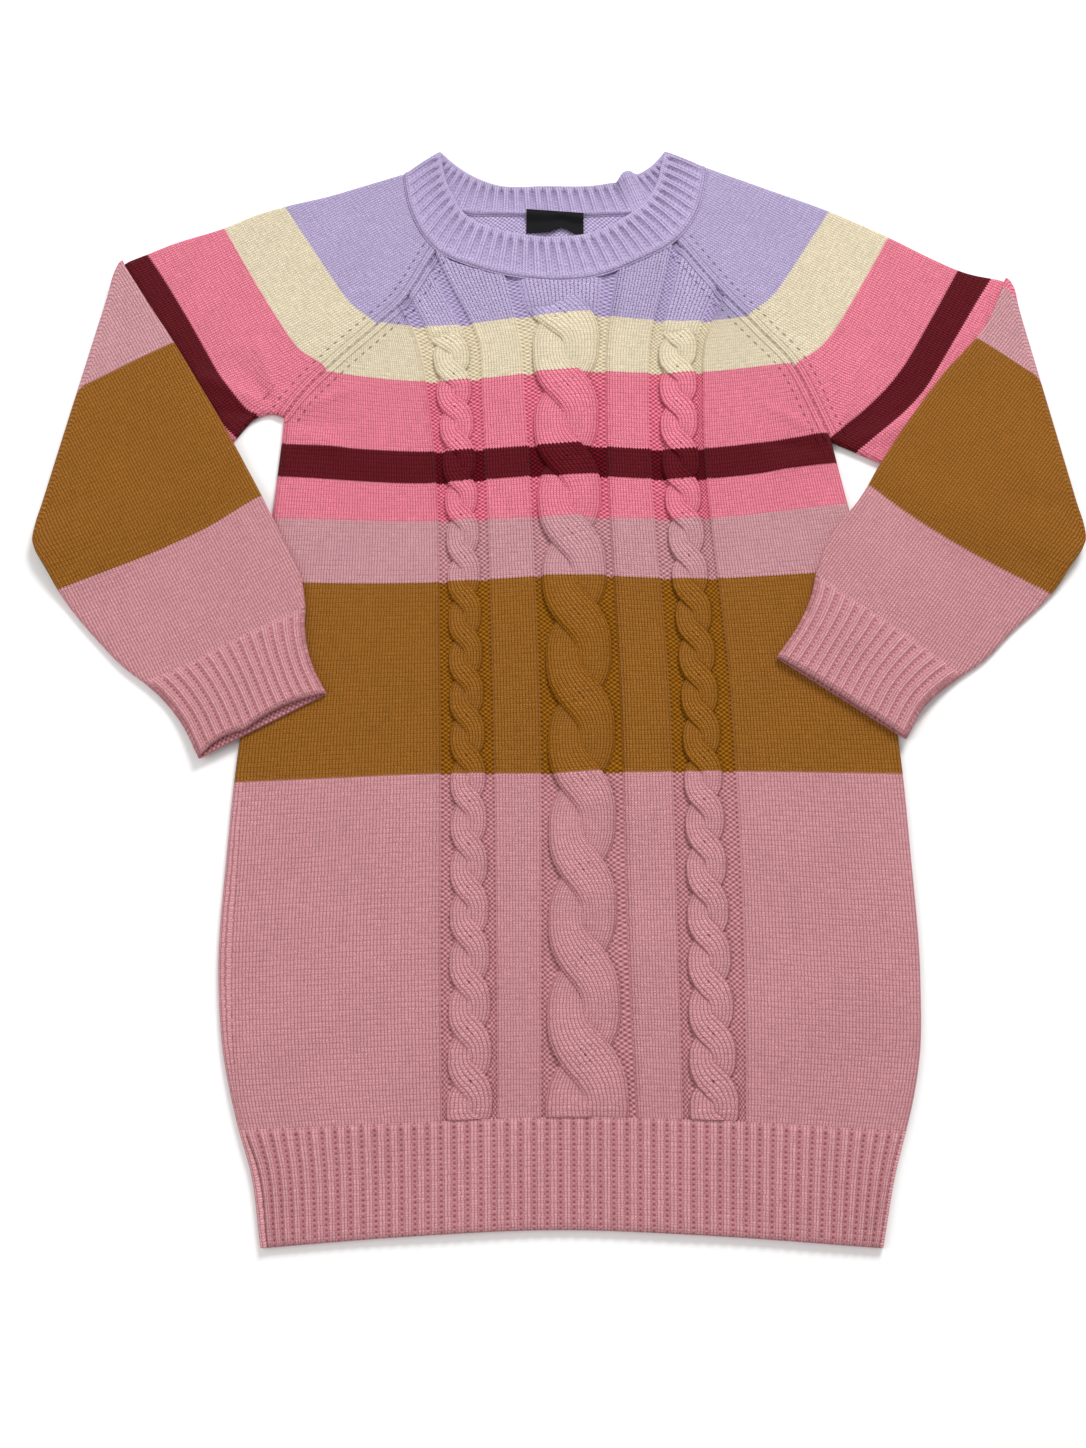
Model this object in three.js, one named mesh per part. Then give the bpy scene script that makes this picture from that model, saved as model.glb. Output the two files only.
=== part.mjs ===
// A child's knitted sweater dress laid flat: a cabled front over a plain back, raglan sleeves
// folded at the elbow so that the forearms and cuffs lie over the front, a ribbed hem and neckband.
// Millimetres. +X is to the right as seen from above with the hem nearest, +Y runs from the hem
// to the neck, and z = 0 is the surface that the dress lies on. "Left" is the side at -X.
import * as THREE from 'three';

// Cloth and layers
const WALL = 2;
const AIR = 0.6;
const SEAM = 0.3;
const LAYER = 2 * WALL + AIR;
const MID = LAYER / 2;
const BEND = LAYER / 2;
const INNER_BEND = AIR / 2;
const STACKED = LAYER + SEAM;
const SETTLE_FROM = 8;
const SETTLE = 40;

// Rows of faces along the panels and along the hem, the same on both sides of a seam
const PANEL_ROWS = 16;
const HEM_ROWS = 2;

// Raised knitting
const RIB_RISE = 0.9;
const NARROW_RISE = 1.7;
const WIDE_RISE = 2.6;
const NARROW_TURN = 27.15;
const WIDE_TURN = 54.3;
const NARROW_START = 221;
const WIDE_START = 233;
const HEM_RIBS = 48;
const CUFF_RIBS = 13;
const COLLAR_FRONT_RIBS = 33;
const COLLAR_BACK_RIBS = 24;

// Shoulder fold of the neckband: share of its length that turns, with one point part of the way
const SHOULDER = { turn: 0.03, part: 0.013, tilt: 0.6 };

// Widths and length that the folds and steps of the flattened tubes are worked out with
const SLEEVE_WIDTH = 130;
const CUFF_WIDTH = 95;
const CUFF_LENGTH = 60;

// Body outline: its left and right edges, and how far the side seam lies inside the left edge
const SIDES = [
  { y: -361, left: -162, right: 173, wrap: 4 },
  { y: -320, left: -168, right: 182, wrap: 4.5 },
  { y: -300, left: -174, right: 188, wrap: 3.5 },
  { y: -282, left: -180, right: 194, wrap: 4 },
  { y: -260, left: -187, right: 200, wrap: 6 },
  { y: -215, left: -194, right: 204, wrap: 8 },
  { y: -140, left: -194, right: 204, wrap: 7 },
  { y: -70, left: -191, right: 202, wrap: 5 },
  { y: 0, left: -184, right: 195, wrap: 4 },
  { y: 50, left: -181, right: 188, wrap: 3.5 },
  { y: 110, left: -178, right: 178, wrap: 3 },
  { y: 134, left: -176.6, right: 174, wrap: 3 },
  { y: 152, left: -176, right: 171, wrap: 3 },
];

// Front knitting columns by height: l, m and r are the left, middle and right cable, c its own two
// edges and t the outer edges of the purl troughs beside it
const COLUMNS = [
  { y: -288, lt0: -66, lc0: -63, lc1: -38, lt1: -35, mt0: -11, mc0: -8,
    mc1: 37, mt1: 42, rt0: 67, rc0: 71, rc1: 98, rt1: 102 },
  { y: -227, lt0: -68, lc0: -63, lc1: -40, lt1: -36, mt0: -11, mc0: -7,
    mc1: 33, mt1: 40, rt0: 67, rc0: 72, rc1: 97, rt1: 104 },
  { y: -44, lt0: -72, lc0: -66, lc1: -46, lt1: -40, mt0: -12, mc0: -7,
    mc1: 32, mt1: 37, rt0: 66, rc0: 73, rc1: 95, rt1: 103 },
  { y: 164, lt0: -84, lc0: -78, lc1: -56, lt1: -49, mt0: -22, mc0: -16,
    mc1: 25, mt1: 31, rt0: 58, rc0: 65, rc1: 89, rt1: 93 },
  { y: 209, lt0: -92, lc0: -84, lc1: -60, lt1: -52, mt0: -25, mc0: -17,
    mc1: 26, mt1: 32, rt0: 60, rc0: 66, rc1: 91, rt1: 96 },
  { y: 256, lt0: -113, lc0: -105, lc1: -80, lt1: -72, mt0: -35, mc0: -27,
    mc1: 30, mt1: 39, rt0: 70, rc0: 76, rc1: 108, rt1: 115 },
];

// Knitted courses across the front, from the hem seam to the yoke: height of each at five places
const COURSES = [
  { level: -292, farLeft: -299, left: -295, middle: -292, right: -294, farRight: -299 },
  { level: -92, farLeft: -97, left: -93, middle: -92, right: -91, farRight: -92 },
  { level: 37, farLeft: 32, left: 32, middle: 37, right: 35, farRight: 40 },
  { level: 78, farLeft: 77, left: 75, middle: 78, right: 77, farRight: 87 },
  { level: 108, farLeft: 107, left: 102, middle: 108, right: 105, farRight: 117 },
  { level: 130, farLeft: 131, left: 125, middle: 130, right: 127, farRight: 140 },
  { level: 184, farLeft: 188, left: 176, middle: 184, right: 183, farRight: 194 },
  { level: 228, farLeft: 234, left: 218, middle: 228, right: 222, farRight: 236 },
  { level: 260, farLeft: 266, left: 250, middle: 260, right: 254, farRight: 268 },
];
const COURSE_PLACES = { farLeft: -175, left: -85, middle: 0, right: 88, farRight: 178 };
const YOKE_SEARCH = { from: -150, to: 330 };
const HEM_END = { x: [-162, -87, 0, 75, 173], y: [-361.5, -355.7, -352, -354.7, -361.5] };

// Neck and raglan seams. Each runs from the left armpit over the neck to the right armpit.
const FRONT_RAGLAN_LEFT = [[-176, 152], [-166, 168], [-148, 190], [-117, 223], [-101, 241], [-81, 280]];
const FRONT_NECK = [[-81, 280], [-72, 272], [-52, 265], [-25, 258], [-5, 255.7], [14, 256.3], [28, 259.6],
  [44, 266.5], [61, 275], [79, 288]];
const FRONT_RAGLAN_RIGHT = [[79, 288], [107, 248], [132, 217], [156, 183], [167, 154], [174, 134]];
const BACK_RAGLAN_LEFT = [[-176, 152], [-152, 184], [-120, 226], [-92, 268], [-66, 311]];
const BACK_NECK = [[-66, 311], [-36, 309], [-2, 308], [32, 309], [62, 312]];
const BACK_RAGLAN_RIGHT = [[62, 312], [92, 270], [122, 224], [150, 180], [167, 153], [174, 134]];

// Where the neck seam meets the raglan seams
const FRONT_CORNERS = { left: -81, right: 79 };
const BACK_CORNERS = { left: -66, right: 62 };

// Neckband: its seam edge and its free edge, from the left shoulder round the front and back again
const NECKBAND = [
  { seamX: -104.5, seamY: 342.5, freeX: -80, freeY: 361.5 },
  { seamX: -101, seamY: 320, freeX: -76, freeY: 338 },
  { seamX: -94, seamY: 299.5, freeX: -69, freeY: 320 },
  { seamX: -81, seamY: 280, freeX: -61, freeY: 307 },
  { seamX: -52, seamY: 265, freeX: -41, freeY: 296.5 },
  { seamX: -25, seamY: 258, freeX: -19, freeY: 291 },
  { seamX: 4, seamY: 255.7, freeX: 1, freeY: 290 },
  { seamX: 28, seamY: 259.6, freeX: 24, freeY: 294 },
  { seamX: 52, seamY: 270.5, freeX: 42, freeY: 304 },
  { seamX: 79, seamY: 288, freeX: 60, freeY: 321 },
  { seamX: 92, seamY: 307.6, freeX: 67, freeY: 335 },
  { seamX: 98, seamY: 328, freeX: 70, freeY: 348 },
  { seamX: 101, seamY: 348, freeX: 73, freeY: 361.5 },
  { seamX: 84, seamY: 326, freeX: 63, freeY: 349 },
  { seamX: 62, seamY: 312, freeX: 44, freeY: 338 },
  { seamX: 32, seamY: 309, freeX: 28, freeY: 334 },
  { seamX: -2, seamY: 308, freeX: -8, freeY: 333 },
  { seamX: -36, seamY: 309, freeX: -42, freeY: 334 },
  { seamX: -66, seamY: 311, freeX: -57, freeY: 341 },
  { seamX: -87, seamY: 322, freeX: -70, freeY: 351 },
];

// Sleeves: outlines of the upper arm on the surface, of the fold and of the forearm on top of it
const SLEEVES = {
  left: {
    overArm: [[-104.5, 342.5], [-137, 334], [-181, 317.5], [-201, 310], [-221, 296], [-262, 280.5],
      [-285.5, 268]],
    underArm: [[-176, 152], [-185, 155], [-194, 152], [-208, 135], [-227, 113], [-257, 88], [-292, 69],
      [-321.5, 59]],
    innerEdge: [[-285.5, 268], [-277, 251], [-245, 198], [-207.5, 133], [-171, 62], [-158.5, 35],
      [-155, 15]],
    outerEdge: [[-321.5, 59], [-307.5, 31], [-280, -5], [-264, -22], [-250, -33]],
    cuffInner: [[-155, 15], [-155, 4], [-149, -23], [-140, -41]],
    cuffOuter: [[-250, -33], [-240, -42], [-227, -58], [-214, -82]],
    open: 5,
  },
  right: {
    overArm: [[101, 348], [137, 332], [181, 312.6], [222, 290], [248, 274], [269, 262.5], [292, 254]],
    underArm: [[174, 134], [204, 119], [246.5, 97.6], [289, 76], [321.4, 60]],
    innerEdge: [[292, 254], [279, 221], [246, 179], [203, 116], [189, 92], [168, 64], [157.5, 37]],
    outerEdge: [[321.4, 60], [303.5, 30], [275, 1], [257, -18], [243, -28]],
    cuffInner: [[157.5, 37], [155, 26], [146.5, 6], [131.5, -17]],
    cuffOuter: [[243, -28], [229, -39], [218, -50], [206, -70]],
    open: 1,
  },
};

// Label behind the neck
const LABEL = { left: -20, right: 16, top: 306.5, bottom: 293, thick: 0.9, wave: 1.6 };

// Colours of the main stripe on each piece
const COLOURS = {
  pink: 0xe8829b, lilac: 0xb8a8d4, dusty: 0xcf8c98, mustard: 0x9d6926, black: 0x1a1a1c,
};

const mix = (a, b, t) => a + (b - a) * t;
const mixPoint = (a, b, t) => a.map((value, i) => mix(value, b[i], t));
const clamp = (value, low, high) => Math.min(high, Math.max(low, value));
const range = (count) => Array.from({ length: count }, (_, i) => i);
const smooth = (t) => t * t * (3 - 2 * t);

// A smooth curve through given values, going on straight past its ends
function spline(xs, ys) {
  const last = xs.length - 1;
  const slope = (i) => (ys[i + 1] - ys[i]) / (xs[i + 1] - xs[i]);
  const tangent = (i) => {
    if (i === 0) return slope(0);
    if (i === last) return slope(last - 1);
    const before = xs[i] - xs[i - 1];
    const after = xs[i + 1] - xs[i];
    return (slope(i - 1) * after + slope(i) * before) / (before + after);
  };
  return (x) => {
    if (x <= xs[0]) return ys[0] + tangent(0) * (x - xs[0]);
    if (x >= xs[last]) return ys[last] + tangent(last) * (x - xs[last]);
    let i = 0;
    while (x > xs[i + 1]) i += 1;
    const width = xs[i + 1] - xs[i];
    const t = (x - xs[i]) / width;
    const a = (1 + 2 * t) * (1 - t) ** 2;
    const b = t * t * (3 - 2 * t);
    const c = t * (1 - t) ** 2 * width;
    const d = t * t * (t - 1) * width;
    return a * ys[i] + b * ys[i + 1] + c * tangent(i) + d * tangent(i + 1);
  };
}

const columnOf = (table, name) => spline(table.map((row) => row.y), table.map((row) => row[name]));

// A curve in the plane through points, by the share of its length from 0 to 1
function path(points) {
  const along = [0];
  for (let i = 1; i < points.length; i += 1) {
    along.push(along[i - 1] + Math.hypot(points[i][0] - points[i - 1][0], points[i][1] - points[i - 1][1]));
  }
  const total = along[along.length - 1];
  const share = along.map((value) => value / total);
  const x = spline(share, points.map((p) => p[0]));
  const y = spline(share, points.map((p) => p[1]));
  return (t) => [x(t), y(t)];
}

// The same with straight lines between the points
function straightPath(points) {
  const along = [0];
  for (let i = 1; i < points.length; i += 1) {
    along.push(along[i - 1] + Math.hypot(points[i][0] - points[i - 1][0], points[i][1] - points[i - 1][1]));
  }
  const total = along[along.length - 1];
  const at = (t) => {
    const length = clamp(t, 0, 1) * total;
    let i = 0;
    while (i < points.length - 2 && length > along[i + 1]) i += 1;
    return mixPoint(points[i], points[i + 1], (length - along[i]) / (along[i + 1] - along[i]));
  };
  return { at, shares: along.map((value) => value / total) };
}

// A line moved sideways, to the left of its direction when the distance is positive
function shiftLine(points, distance) {
  return points.map((p, i) => {
    const before = points[Math.max(i - 1, 0)];
    const after = points[Math.min(i + 1, points.length - 1)];
    const into = new THREE.Vector2(p[0] - before[0], p[1] - before[1]).normalize();
    const out = new THREE.Vector2(after[0] - p[0], after[1] - p[1]).normalize();
    if (i === 0) into.copy(out);
    if (i === points.length - 1) out.copy(into);
    const normal = new THREE.Vector2(-(into.y + out.y), into.x + out.x).normalize();
    const reach = distance / Math.max(0.5, -into.y * normal.x + into.x * normal.y);
    return [p[0] + normal.x * reach, p[1] + normal.y * reach];
  });
}

// A closed solid gathered from strips of points
class Solid {
  constructor() {
    this.points = [];
    this.keys = [];
    this.faces = [];
  }

  add(x, y, z, key = 0) {
    this.points.push([x, y, z]);
    this.keys.push(key);
    return this.points.length - 1;
  }

  face(a, b, c) {
    if (a !== b && b !== c && a !== c) this.faces.push([a, b, c]);
  }

  // Joins two lines of points. Seen from outside, a runs on the left and b on the right.
  zip(a, b) {
    let i = 0;
    let j = 0;
    while (i < a.length - 1 || j < b.length - 1) {
      const atEndOfB = j === b.length - 1;
      const aIsNext = i < a.length - 1 && (atEndOfB || this.keys[a[i + 1]] <= this.keys[b[j + 1]]);
      if (aIsNext) {
        this.face(a[i], b[j], a[i + 1]);
        i += 1;
      } else {
        this.face(a[i], b[j], b[j + 1]);
        j += 1;
      }
    }
  }

  // The same for two lines of as many points each
  quads(a, b) {
    for (let i = 0; i < a.length - 1; i += 1) {
      this.face(a[i], b[i], b[i + 1]);
      this.face(a[i], b[i + 1], a[i + 1]);
    }
  }

  mesh(name, colour) {
    const geometry = new THREE.BufferGeometry();
    geometry.setAttribute('position', new THREE.Float32BufferAttribute(this.points.flat(), 3));
    geometry.setIndex(this.faces.flat());
    geometry.computeVertexNormals();
    const material = new THREE.MeshStandardMaterial({ color: colour, roughness: 0.95, metalness: 0 });
    const mesh = new THREE.Mesh(geometry, material);
    mesh.name = name;
    return mesh;
  }
}

// Cross-section of a side fold: distance in from the outline and height, by the arc from mid height
const ARC = BEND * Math.PI / 2;
function foldOuter(arc) {
  const angle = clamp(arc / BEND, -Math.PI / 2, Math.PI / 2);
  const rest = Math.max(0, Math.abs(arc) - ARC);
  return { inset: BEND * (1 - Math.cos(angle)) + rest, z: MID + BEND * Math.sin(angle) };
}

// Body: outline and knitting coordinates
const bodyLeft = columnOf(SIDES, 'left');
const bodyRight = columnOf(SIDES, 'right');
const sideWrap = columnOf(SIDES, 'wrap');
const knitEdges = Object.fromEntries(Object.keys(COLUMNS[0]).filter((name) => name !== 'y')
  .map((name) => [name, columnOf(COLUMNS, name)]));
const places = Object.keys(COURSE_PLACES);
const courseAtPlace = places.map((place) =>
  spline(COURSES.map((row) => row.level), COURSES.map((row) => row[place])));

function courseHeight(x, level) {
  return spline(places.map((place) => COURSE_PLACES[place]), courseAtPlace.map((at) => at(level)))(x);
}

// Where a knitting column lies at a course level
function onFront(edge, level) {
  const first = courseHeight(edge(level), level);
  const second = courseHeight(edge(first), level);
  return [edge(second), second];
}

const frontSeams = [
  { to: FRONT_CORNERS.left, line: spline(...splitPoints(FRONT_RAGLAN_LEFT)) },
  { to: FRONT_CORNERS.right, line: spline(...splitPoints(FRONT_NECK)) },
  { to: Infinity, line: spline(...splitPoints(FRONT_RAGLAN_RIGHT)) },
];
const backSeams = [
  { to: BACK_CORNERS.left, line: spline(...splitPoints(BACK_RAGLAN_LEFT)) },
  { to: BACK_CORNERS.right, line: spline(...splitPoints(BACK_NECK)) },
  { to: Infinity, line: spline(...splitPoints(BACK_RAGLAN_RIGHT)) },
];

function splitPoints(points) {
  return [points.map((p) => p[0]), points.map((p) => p[1])];
}

const seamHeight = (seams, x) => seams.find((part) => x <= part.to).line(x);

// Height of a line of straight pieces through knots that are sorted by x
function straightHeight(knots, x) {
  let i = 0;
  while (i < knots.length - 2 && x > knots[i + 1][0]) i += 1;
  const [a, b] = [knots[i], knots[i + 1]];
  return mix(a[1], b[1], (x - a[0]) / (b[0] - a[0]));
}

// Last level of a column below a limit
function levelAt(pointAt, limit) {
  let low = YOKE_SEARCH.from;
  let high = YOKE_SEARCH.to;
  for (let i = 0; i < 50; i += 1) {
    const middle = (low + high) / 2;
    const [x, y] = pointAt(middle);
    if (y < limit(x)) low = middle;
    else high = middle;
  }
  return low;
}

// Height of a two-strand rope over its ground, by the place across it and the phase of its twist
function ropeRise(across, phase) {
  const strands = [phase, phase + Math.PI].map((angle) => {
    const side = -Math.cos(angle);
    const reach = 1 - ((across - 0.45 * side) / 0.6) ** 2;
    return Math.sqrt(Math.max(0, reach)) * (0.7 + 0.3 * Math.sin(angle));
  });
  return Math.abs(across) > 0.99 ? 0 : Math.max(...strands);
}

const NARROW = { turn: NARROW_TURN, start: NARROW_START, rise: NARROW_RISE, strips: 5, steps: 4 };
const WIDE = { turn: WIDE_TURN, start: WIDE_START, rise: WIDE_RISE, strips: 7, steps: 8 };
const CABLES = {
  left: { from: 'lc0', to: 'lc1', ...NARROW },
  middle: { from: 'mc0', to: 'mc1', ...WIDE },
  right: { from: 'rc0', to: 'rc1', ...NARROW },
};

// The columns of the front panel from left to right
function frontColumns() {
  const flatLeft = (y) => bodyLeft(y) + sideWrap(y);
  const flatRight = (y) => bodyRight(y) - BEND;
  const between = (a, b, t) => (y) => mix(a(y), b(y), t);
  const flat = (edge, extra = {}) => ({ edge, z: () => LAYER, ...extra });
  const cable = ({ from, to, turn, start, rise, strips, steps }) => range(strips + 1).map((i) => {
    const across = -1 + (2 * i) / strips;
    const edge = between(knitEdges[from], knitEdges[to], i / strips);
    const phase = (level) => Math.PI * (start + turn / 2 - level) / turn;
    return { edge, z: (level) => LAYER + rise * ropeRise(across, phase(level)), step: turn / steps, start };
  });
  const side = (arc) => {
    const { inset, z } = foldOuter(arc);
    return { edge: (y) => bodyRight(y) - inset, z: () => z, arc };
  };
  return [
    flat(flatLeft, { knot: true }),
    flat(between(flatLeft, knitEdges.lt0, 0.3), { knot: true }),
    flat(between(flatLeft, knitEdges.lt0, 0.65), { knot: true }),
    flat(knitEdges.lt0, { knot: true }),
    ...cable(CABLES.left).map((column, i) => ({ ...column, knot: i === 3 })),
    flat(knitEdges.lt1, { corner: FRONT_CORNERS.left, knot: true }),
    flat(between(knitEdges.lt1, knitEdges.mt0, 0.5), { knot: true }),
    flat(knitEdges.mt0, { knot: true }),
    ...cable(CABLES.middle).map((column) => ({ ...column, knot: true })),
    flat(knitEdges.mt1, { knot: true }),
    flat(between(knitEdges.mt1, knitEdges.rt0, 0.5), { knot: true }),
    flat(knitEdges.rt0, { corner: FRONT_CORNERS.right, knot: true }),
    ...cable(CABLES.right).map((column, i) => ({ ...column, knot: i === 3 })),
    flat(knitEdges.rt1, { knot: true }),
    flat(between(knitEdges.rt1, flatRight, 0.35), { knot: true }),
    flat(between(knitEdges.rt1, flatRight, 0.7), { knot: true }),
    side(ARC),
    side(ARC / 2),
    { ...side(SEAM / 2), knot: true },
  ];
}

// The seam that the front panel shares with sleeves and neckband, as knots from left to right
function seamKnots(columns, seams) {
  return columns.filter((column) => column.knot).map((column) => {
    if (column.corner !== undefined) return [column.corner, seamHeight(seams, column.corner)];
    const level = levelAt((value) => onFront(column.edge, value), (x) => seamHeight(seams, x));
    return onFront(column.edge, level);
  });
}

const frontSet = frontColumns();
const frontKnots = seamKnots(frontSet, frontSeams);

// Levels of a column's points: even ones on plain columns, the cable's own steps on cables
function levelsOf(column, lowest, highest) {
  const levels = [lowest];
  if (column.step) {
    const clear = column.step * 0.3;
    const count = Math.floor((column.start - lowest - clear) / column.step);
    for (let level = column.start - count * column.step; level < highest - clear; level += column.step) {
      levels.push(level);
    }
  } else {
    range(PANEL_ROWS - 1).forEach((i) => levels.push(mix(lowest, highest, (i + 1) / PANEL_ROWS)));
  }
  levels.push(highest);
  return levels;
}

function frontPanel() {
  const solid = new Solid();
  const lowest = COURSES[0].level;
  const plan = frontSet.map((column) => {
    const highest = levelAt((level) => onFront(column.edge, level), (x) => straightHeight(frontKnots, x));
    const levels = levelsOf(column, lowest, highest);
    const points = levels.map((level) => [...onFront(column.edge, level), column.z(level), level]);
    if (column.corner !== undefined) {
      const corner = frontKnots.find((knot) => knot[0] === column.corner);
      points[points.length - 1].splice(0, 2, ...corner);
    }
    return points;
  });
  const tops = shiftLine(plan.map((points) => points[points.length - 1].slice(0, 2)), -SEAM);
  plan.forEach((points, i) => points[points.length - 1].splice(0, 2, ...tops[i]));
  const outer = plan.map((points) => points.map(([x, y, z, level]) => solid.add(x, y, z, level)));
  range(outer.length - 1).forEach((i) => solid.zip(outer[i], outer[i + 1]));

  // The plain inside is one plane, whose border lies under the border of the outside
  const insideZ = LAYER - WALL;
  const inward = (column) => {
    if (column.arc === undefined) return 0;
    const angle = column.arc / BEND;
    return foldOuter(column.arc).inset - (BEND - INNER_BEND * Math.cos(angle));
  };
  const under = (i, k) => {
    const [x, y, , level] = plan[i][k];
    return solid.add(x + inward(frontSet[i]), y, insideZ, level);
  };
  const last = plan.length - 1;
  const bottom = range(plan.length).map((i) => under(i, 0));
  const top = range(plan.length).map((i) => under(i, plan[i].length - 1));
  const sideOf = (i) => [bottom[i], ...range(plan[i].length - 2).map((k) => under(i, k + 1)), top[i]];
  const left = sideOf(0);
  const right = sideOf(last);
  solid.quads(left, outer[0]);
  solid.quads(outer[last], right);
  solid.quads(outer.map((ids) => ids[0]), bottom);
  solid.quads(top, outer.map((ids) => ids[ids.length - 1]));
  const border = [...bottom, ...right.slice(1), ...top.slice(0, -1).reverse()];
  border.push(...left.slice(1, -1).reverse());
  const contour = border.map((id) => new THREE.Vector2(solid.points[id][0], solid.points[id][1]));
  THREE.ShapeUtils.triangulateShape(contour, []).forEach(([a, b, c]) => {
    solid.face(border[a], border[c], border[b]);
  });
  return solid.mesh('front_panel', COLOURS.pink);
}

// Back section: the outer points from the side seam on top, round the left fold and under to the right
function backSection() {
  const fromLeft = (inset) => (y) => bodyLeft(y) + inset;
  const fromRight = (inset) => (y) => bodyRight(y) - inset;
  const wrapEdge = (y) => bodyLeft(y) + sideWrap(y) - SEAM;
  const fold = foldOuter(ARC / 2);
  const low = SEAM / 2;
  const under = range(7).map((i) => {
    const share = (i + 1) / 8;
    const outer = (y) => mix(bodyLeft(y) + BEND, bodyRight(y) - BEND, share);
    return { outer, z: 0, insideZ: WALL, side: 'back' };
  });
  const corner = fromLeft(BEND - INNER_BEND * 2 / 3);
  const top = { side: 'front', insideZ: LAYER - WALL };
  const bottom = { side: 'back', insideZ: WALL };
  const deep = fromRight(BEND - INNER_BEND / 2);
  return [
    { ...top, outer: wrapEdge, z: LAYER },
    { ...top, outer: fromLeft(BEND), z: LAYER },
    { ...top, outer: fromLeft(fold.inset), z: fold.z, inner: corner, insideZ: MID + 0.2 },
    { ...bottom, outer: fromLeft(0), z: MID, inner: fromLeft(BEND - INNER_BEND), insideZ: MID },
    { ...bottom, outer: fromLeft(fold.inset), z: LAYER - fold.z, inner: corner, insideZ: MID - 0.2 },
    { ...bottom, outer: fromLeft(BEND), z: 0 },
    ...under,
    { ...bottom, outer: fromRight(BEND), z: 0 },
    { ...bottom, outer: fromRight(fold.inset), z: LAYER - fold.z, inner: deep },
    { ...bottom, outer: fromRight(0), z: MID - low, inner: fromRight(BEND - INNER_BEND) },
  ];
}

const hemSeam = (x) => courseHeight(x, COURSES[0].level);

function backTop(edge) {
  const level = levelAt((value) => onFront(edge, value), (x) => seamHeight(backSeams, x));
  return onFront(edge, level);
}

const backKnots = [
  ...backSection().filter((part) => part.side === 'back').map((part) => backTop(part.outer)),
  ...Object.values(BACK_CORNERS).map((x) => [x, seamHeight(backSeams, x)]),
].sort((a, b) => a[0] - b[0]);

function backPanel() {
  const solid = new Solid();
  const rows = PANEL_ROWS;
  const section = backSection();
  const [low, high] = [COURSES[0].level, SIDES.at(-1).y];
  const corners = Object.values(BACK_CORNERS).map((x) => {
    const share = (x - bodyLeft(high)) / (bodyRight(high) - bodyLeft(high));
    const bottomX = mix(bodyLeft(low), bodyRight(low), share);
    const outer = (y) => mix(bottomX, x, clamp((y - low) / (seamHeight(backSeams, x) - low), 0, 1));
    return { outer, z: 0, insideZ: WALL, side: 'back', corner: x };
  });
  const all = [...section, ...corners];
  const topX = (part) => (part.corner === undefined ? backTop(part.outer)[0] : part.corner);
  const fold = 5;
  const sorted = [...section.slice(0, fold), ...all.filter((part) => !section.slice(0, fold).includes(part))
    .sort((a, b) => topX(a) - topX(b))];
  const plan = sorted.map((part) => {
    const knots = part.side === 'front' ? frontKnots : backKnots;
    const top = levelAt((level) => onFront(part.outer, level), (x) => straightHeight(knots, x));
    const inner = part.inner ?? part.outer;
    return range(rows + 1).map((row) => {
      const [x, y] = onFront(part.outer, mix(COURSES[0].level, top, row / rows));
      return [x, y, part.z, inner(y) - part.outer(y), part.insideZ];
    });
  });
  const tops = shiftLine(plan.slice(fold).map((points) => points[rows].slice(0, 2)), -SEAM);
  plan.slice(fold).forEach((points, i) => points[rows].splice(0, 2, ...tops[i]));
  plan.slice(0, fold).forEach((points) => { points[rows][1] -= SEAM * 2; });
  const outer = plan.map((points) => points.map(([x, y, z]) => solid.add(x, y, z)));
  const inner = plan.map((points) => points.map(([x, y, , shift, z]) => solid.add(x + shift, y, z)));
  range(plan.length - 1).forEach((i) => {
    solid.quads(outer[i + 1], outer[i]);
    solid.quads(inner[i], inner[i + 1]);
  });
  const last = plan.length - 1;
  solid.quads(outer[0], inner[0]);
  solid.quads(inner[last], outer[last]);
  solid.quads(outer.map((ids) => ids[rows]), inner.map((ids) => ids[rows]));
  solid.quads(inner.map((ids) => ids[0]), outer.map((ids) => ids[0]));
  return solid.mesh('back_panel', COLOURS.pink);
}

// A sheet from a grid of outer points and of inner points, closed round its four edges
function closedSheet(solid, outer, inner) {
  const outerIds = outer.map((row) => row.map((p) => solid.add(...p)));
  const innerIds = inner.map((row) => row.map((p) => solid.add(...p)));
  const last = outer.length - 1;
  const end = outer[0].length - 1;
  range(last).forEach((i) => {
    solid.quads(outerIds[i], outerIds[i + 1]);
    solid.quads(innerIds[i + 1], innerIds[i]);
  });
  solid.quads(innerIds[0], outerIds[0]);
  solid.quads(outerIds[last], innerIds[last]);
  solid.quads(outerIds.map((ids) => ids[0]), innerIds.map((ids) => ids[0]));
  solid.quads(innerIds.map((ids) => ids[end]), outerIds.map((ids) => ids[end]));
}

const hemEnd = spline(HEM_END.x, HEM_END.y);

// Rise of a rib at a place counted in ribs: a flat crest between narrow troughs
const ribProfile = [{ at: 0.12, rise: 0 }, { at: 0.34, rise: 1 }, { at: 0.78, rise: 1 }];
function ribStations(count) {
  const stations = (rib) => ribProfile.map(({ at, rise }) => ({ share: (rib + at) / count, rise }));
  return range(count).flatMap(stations);
}

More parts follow.
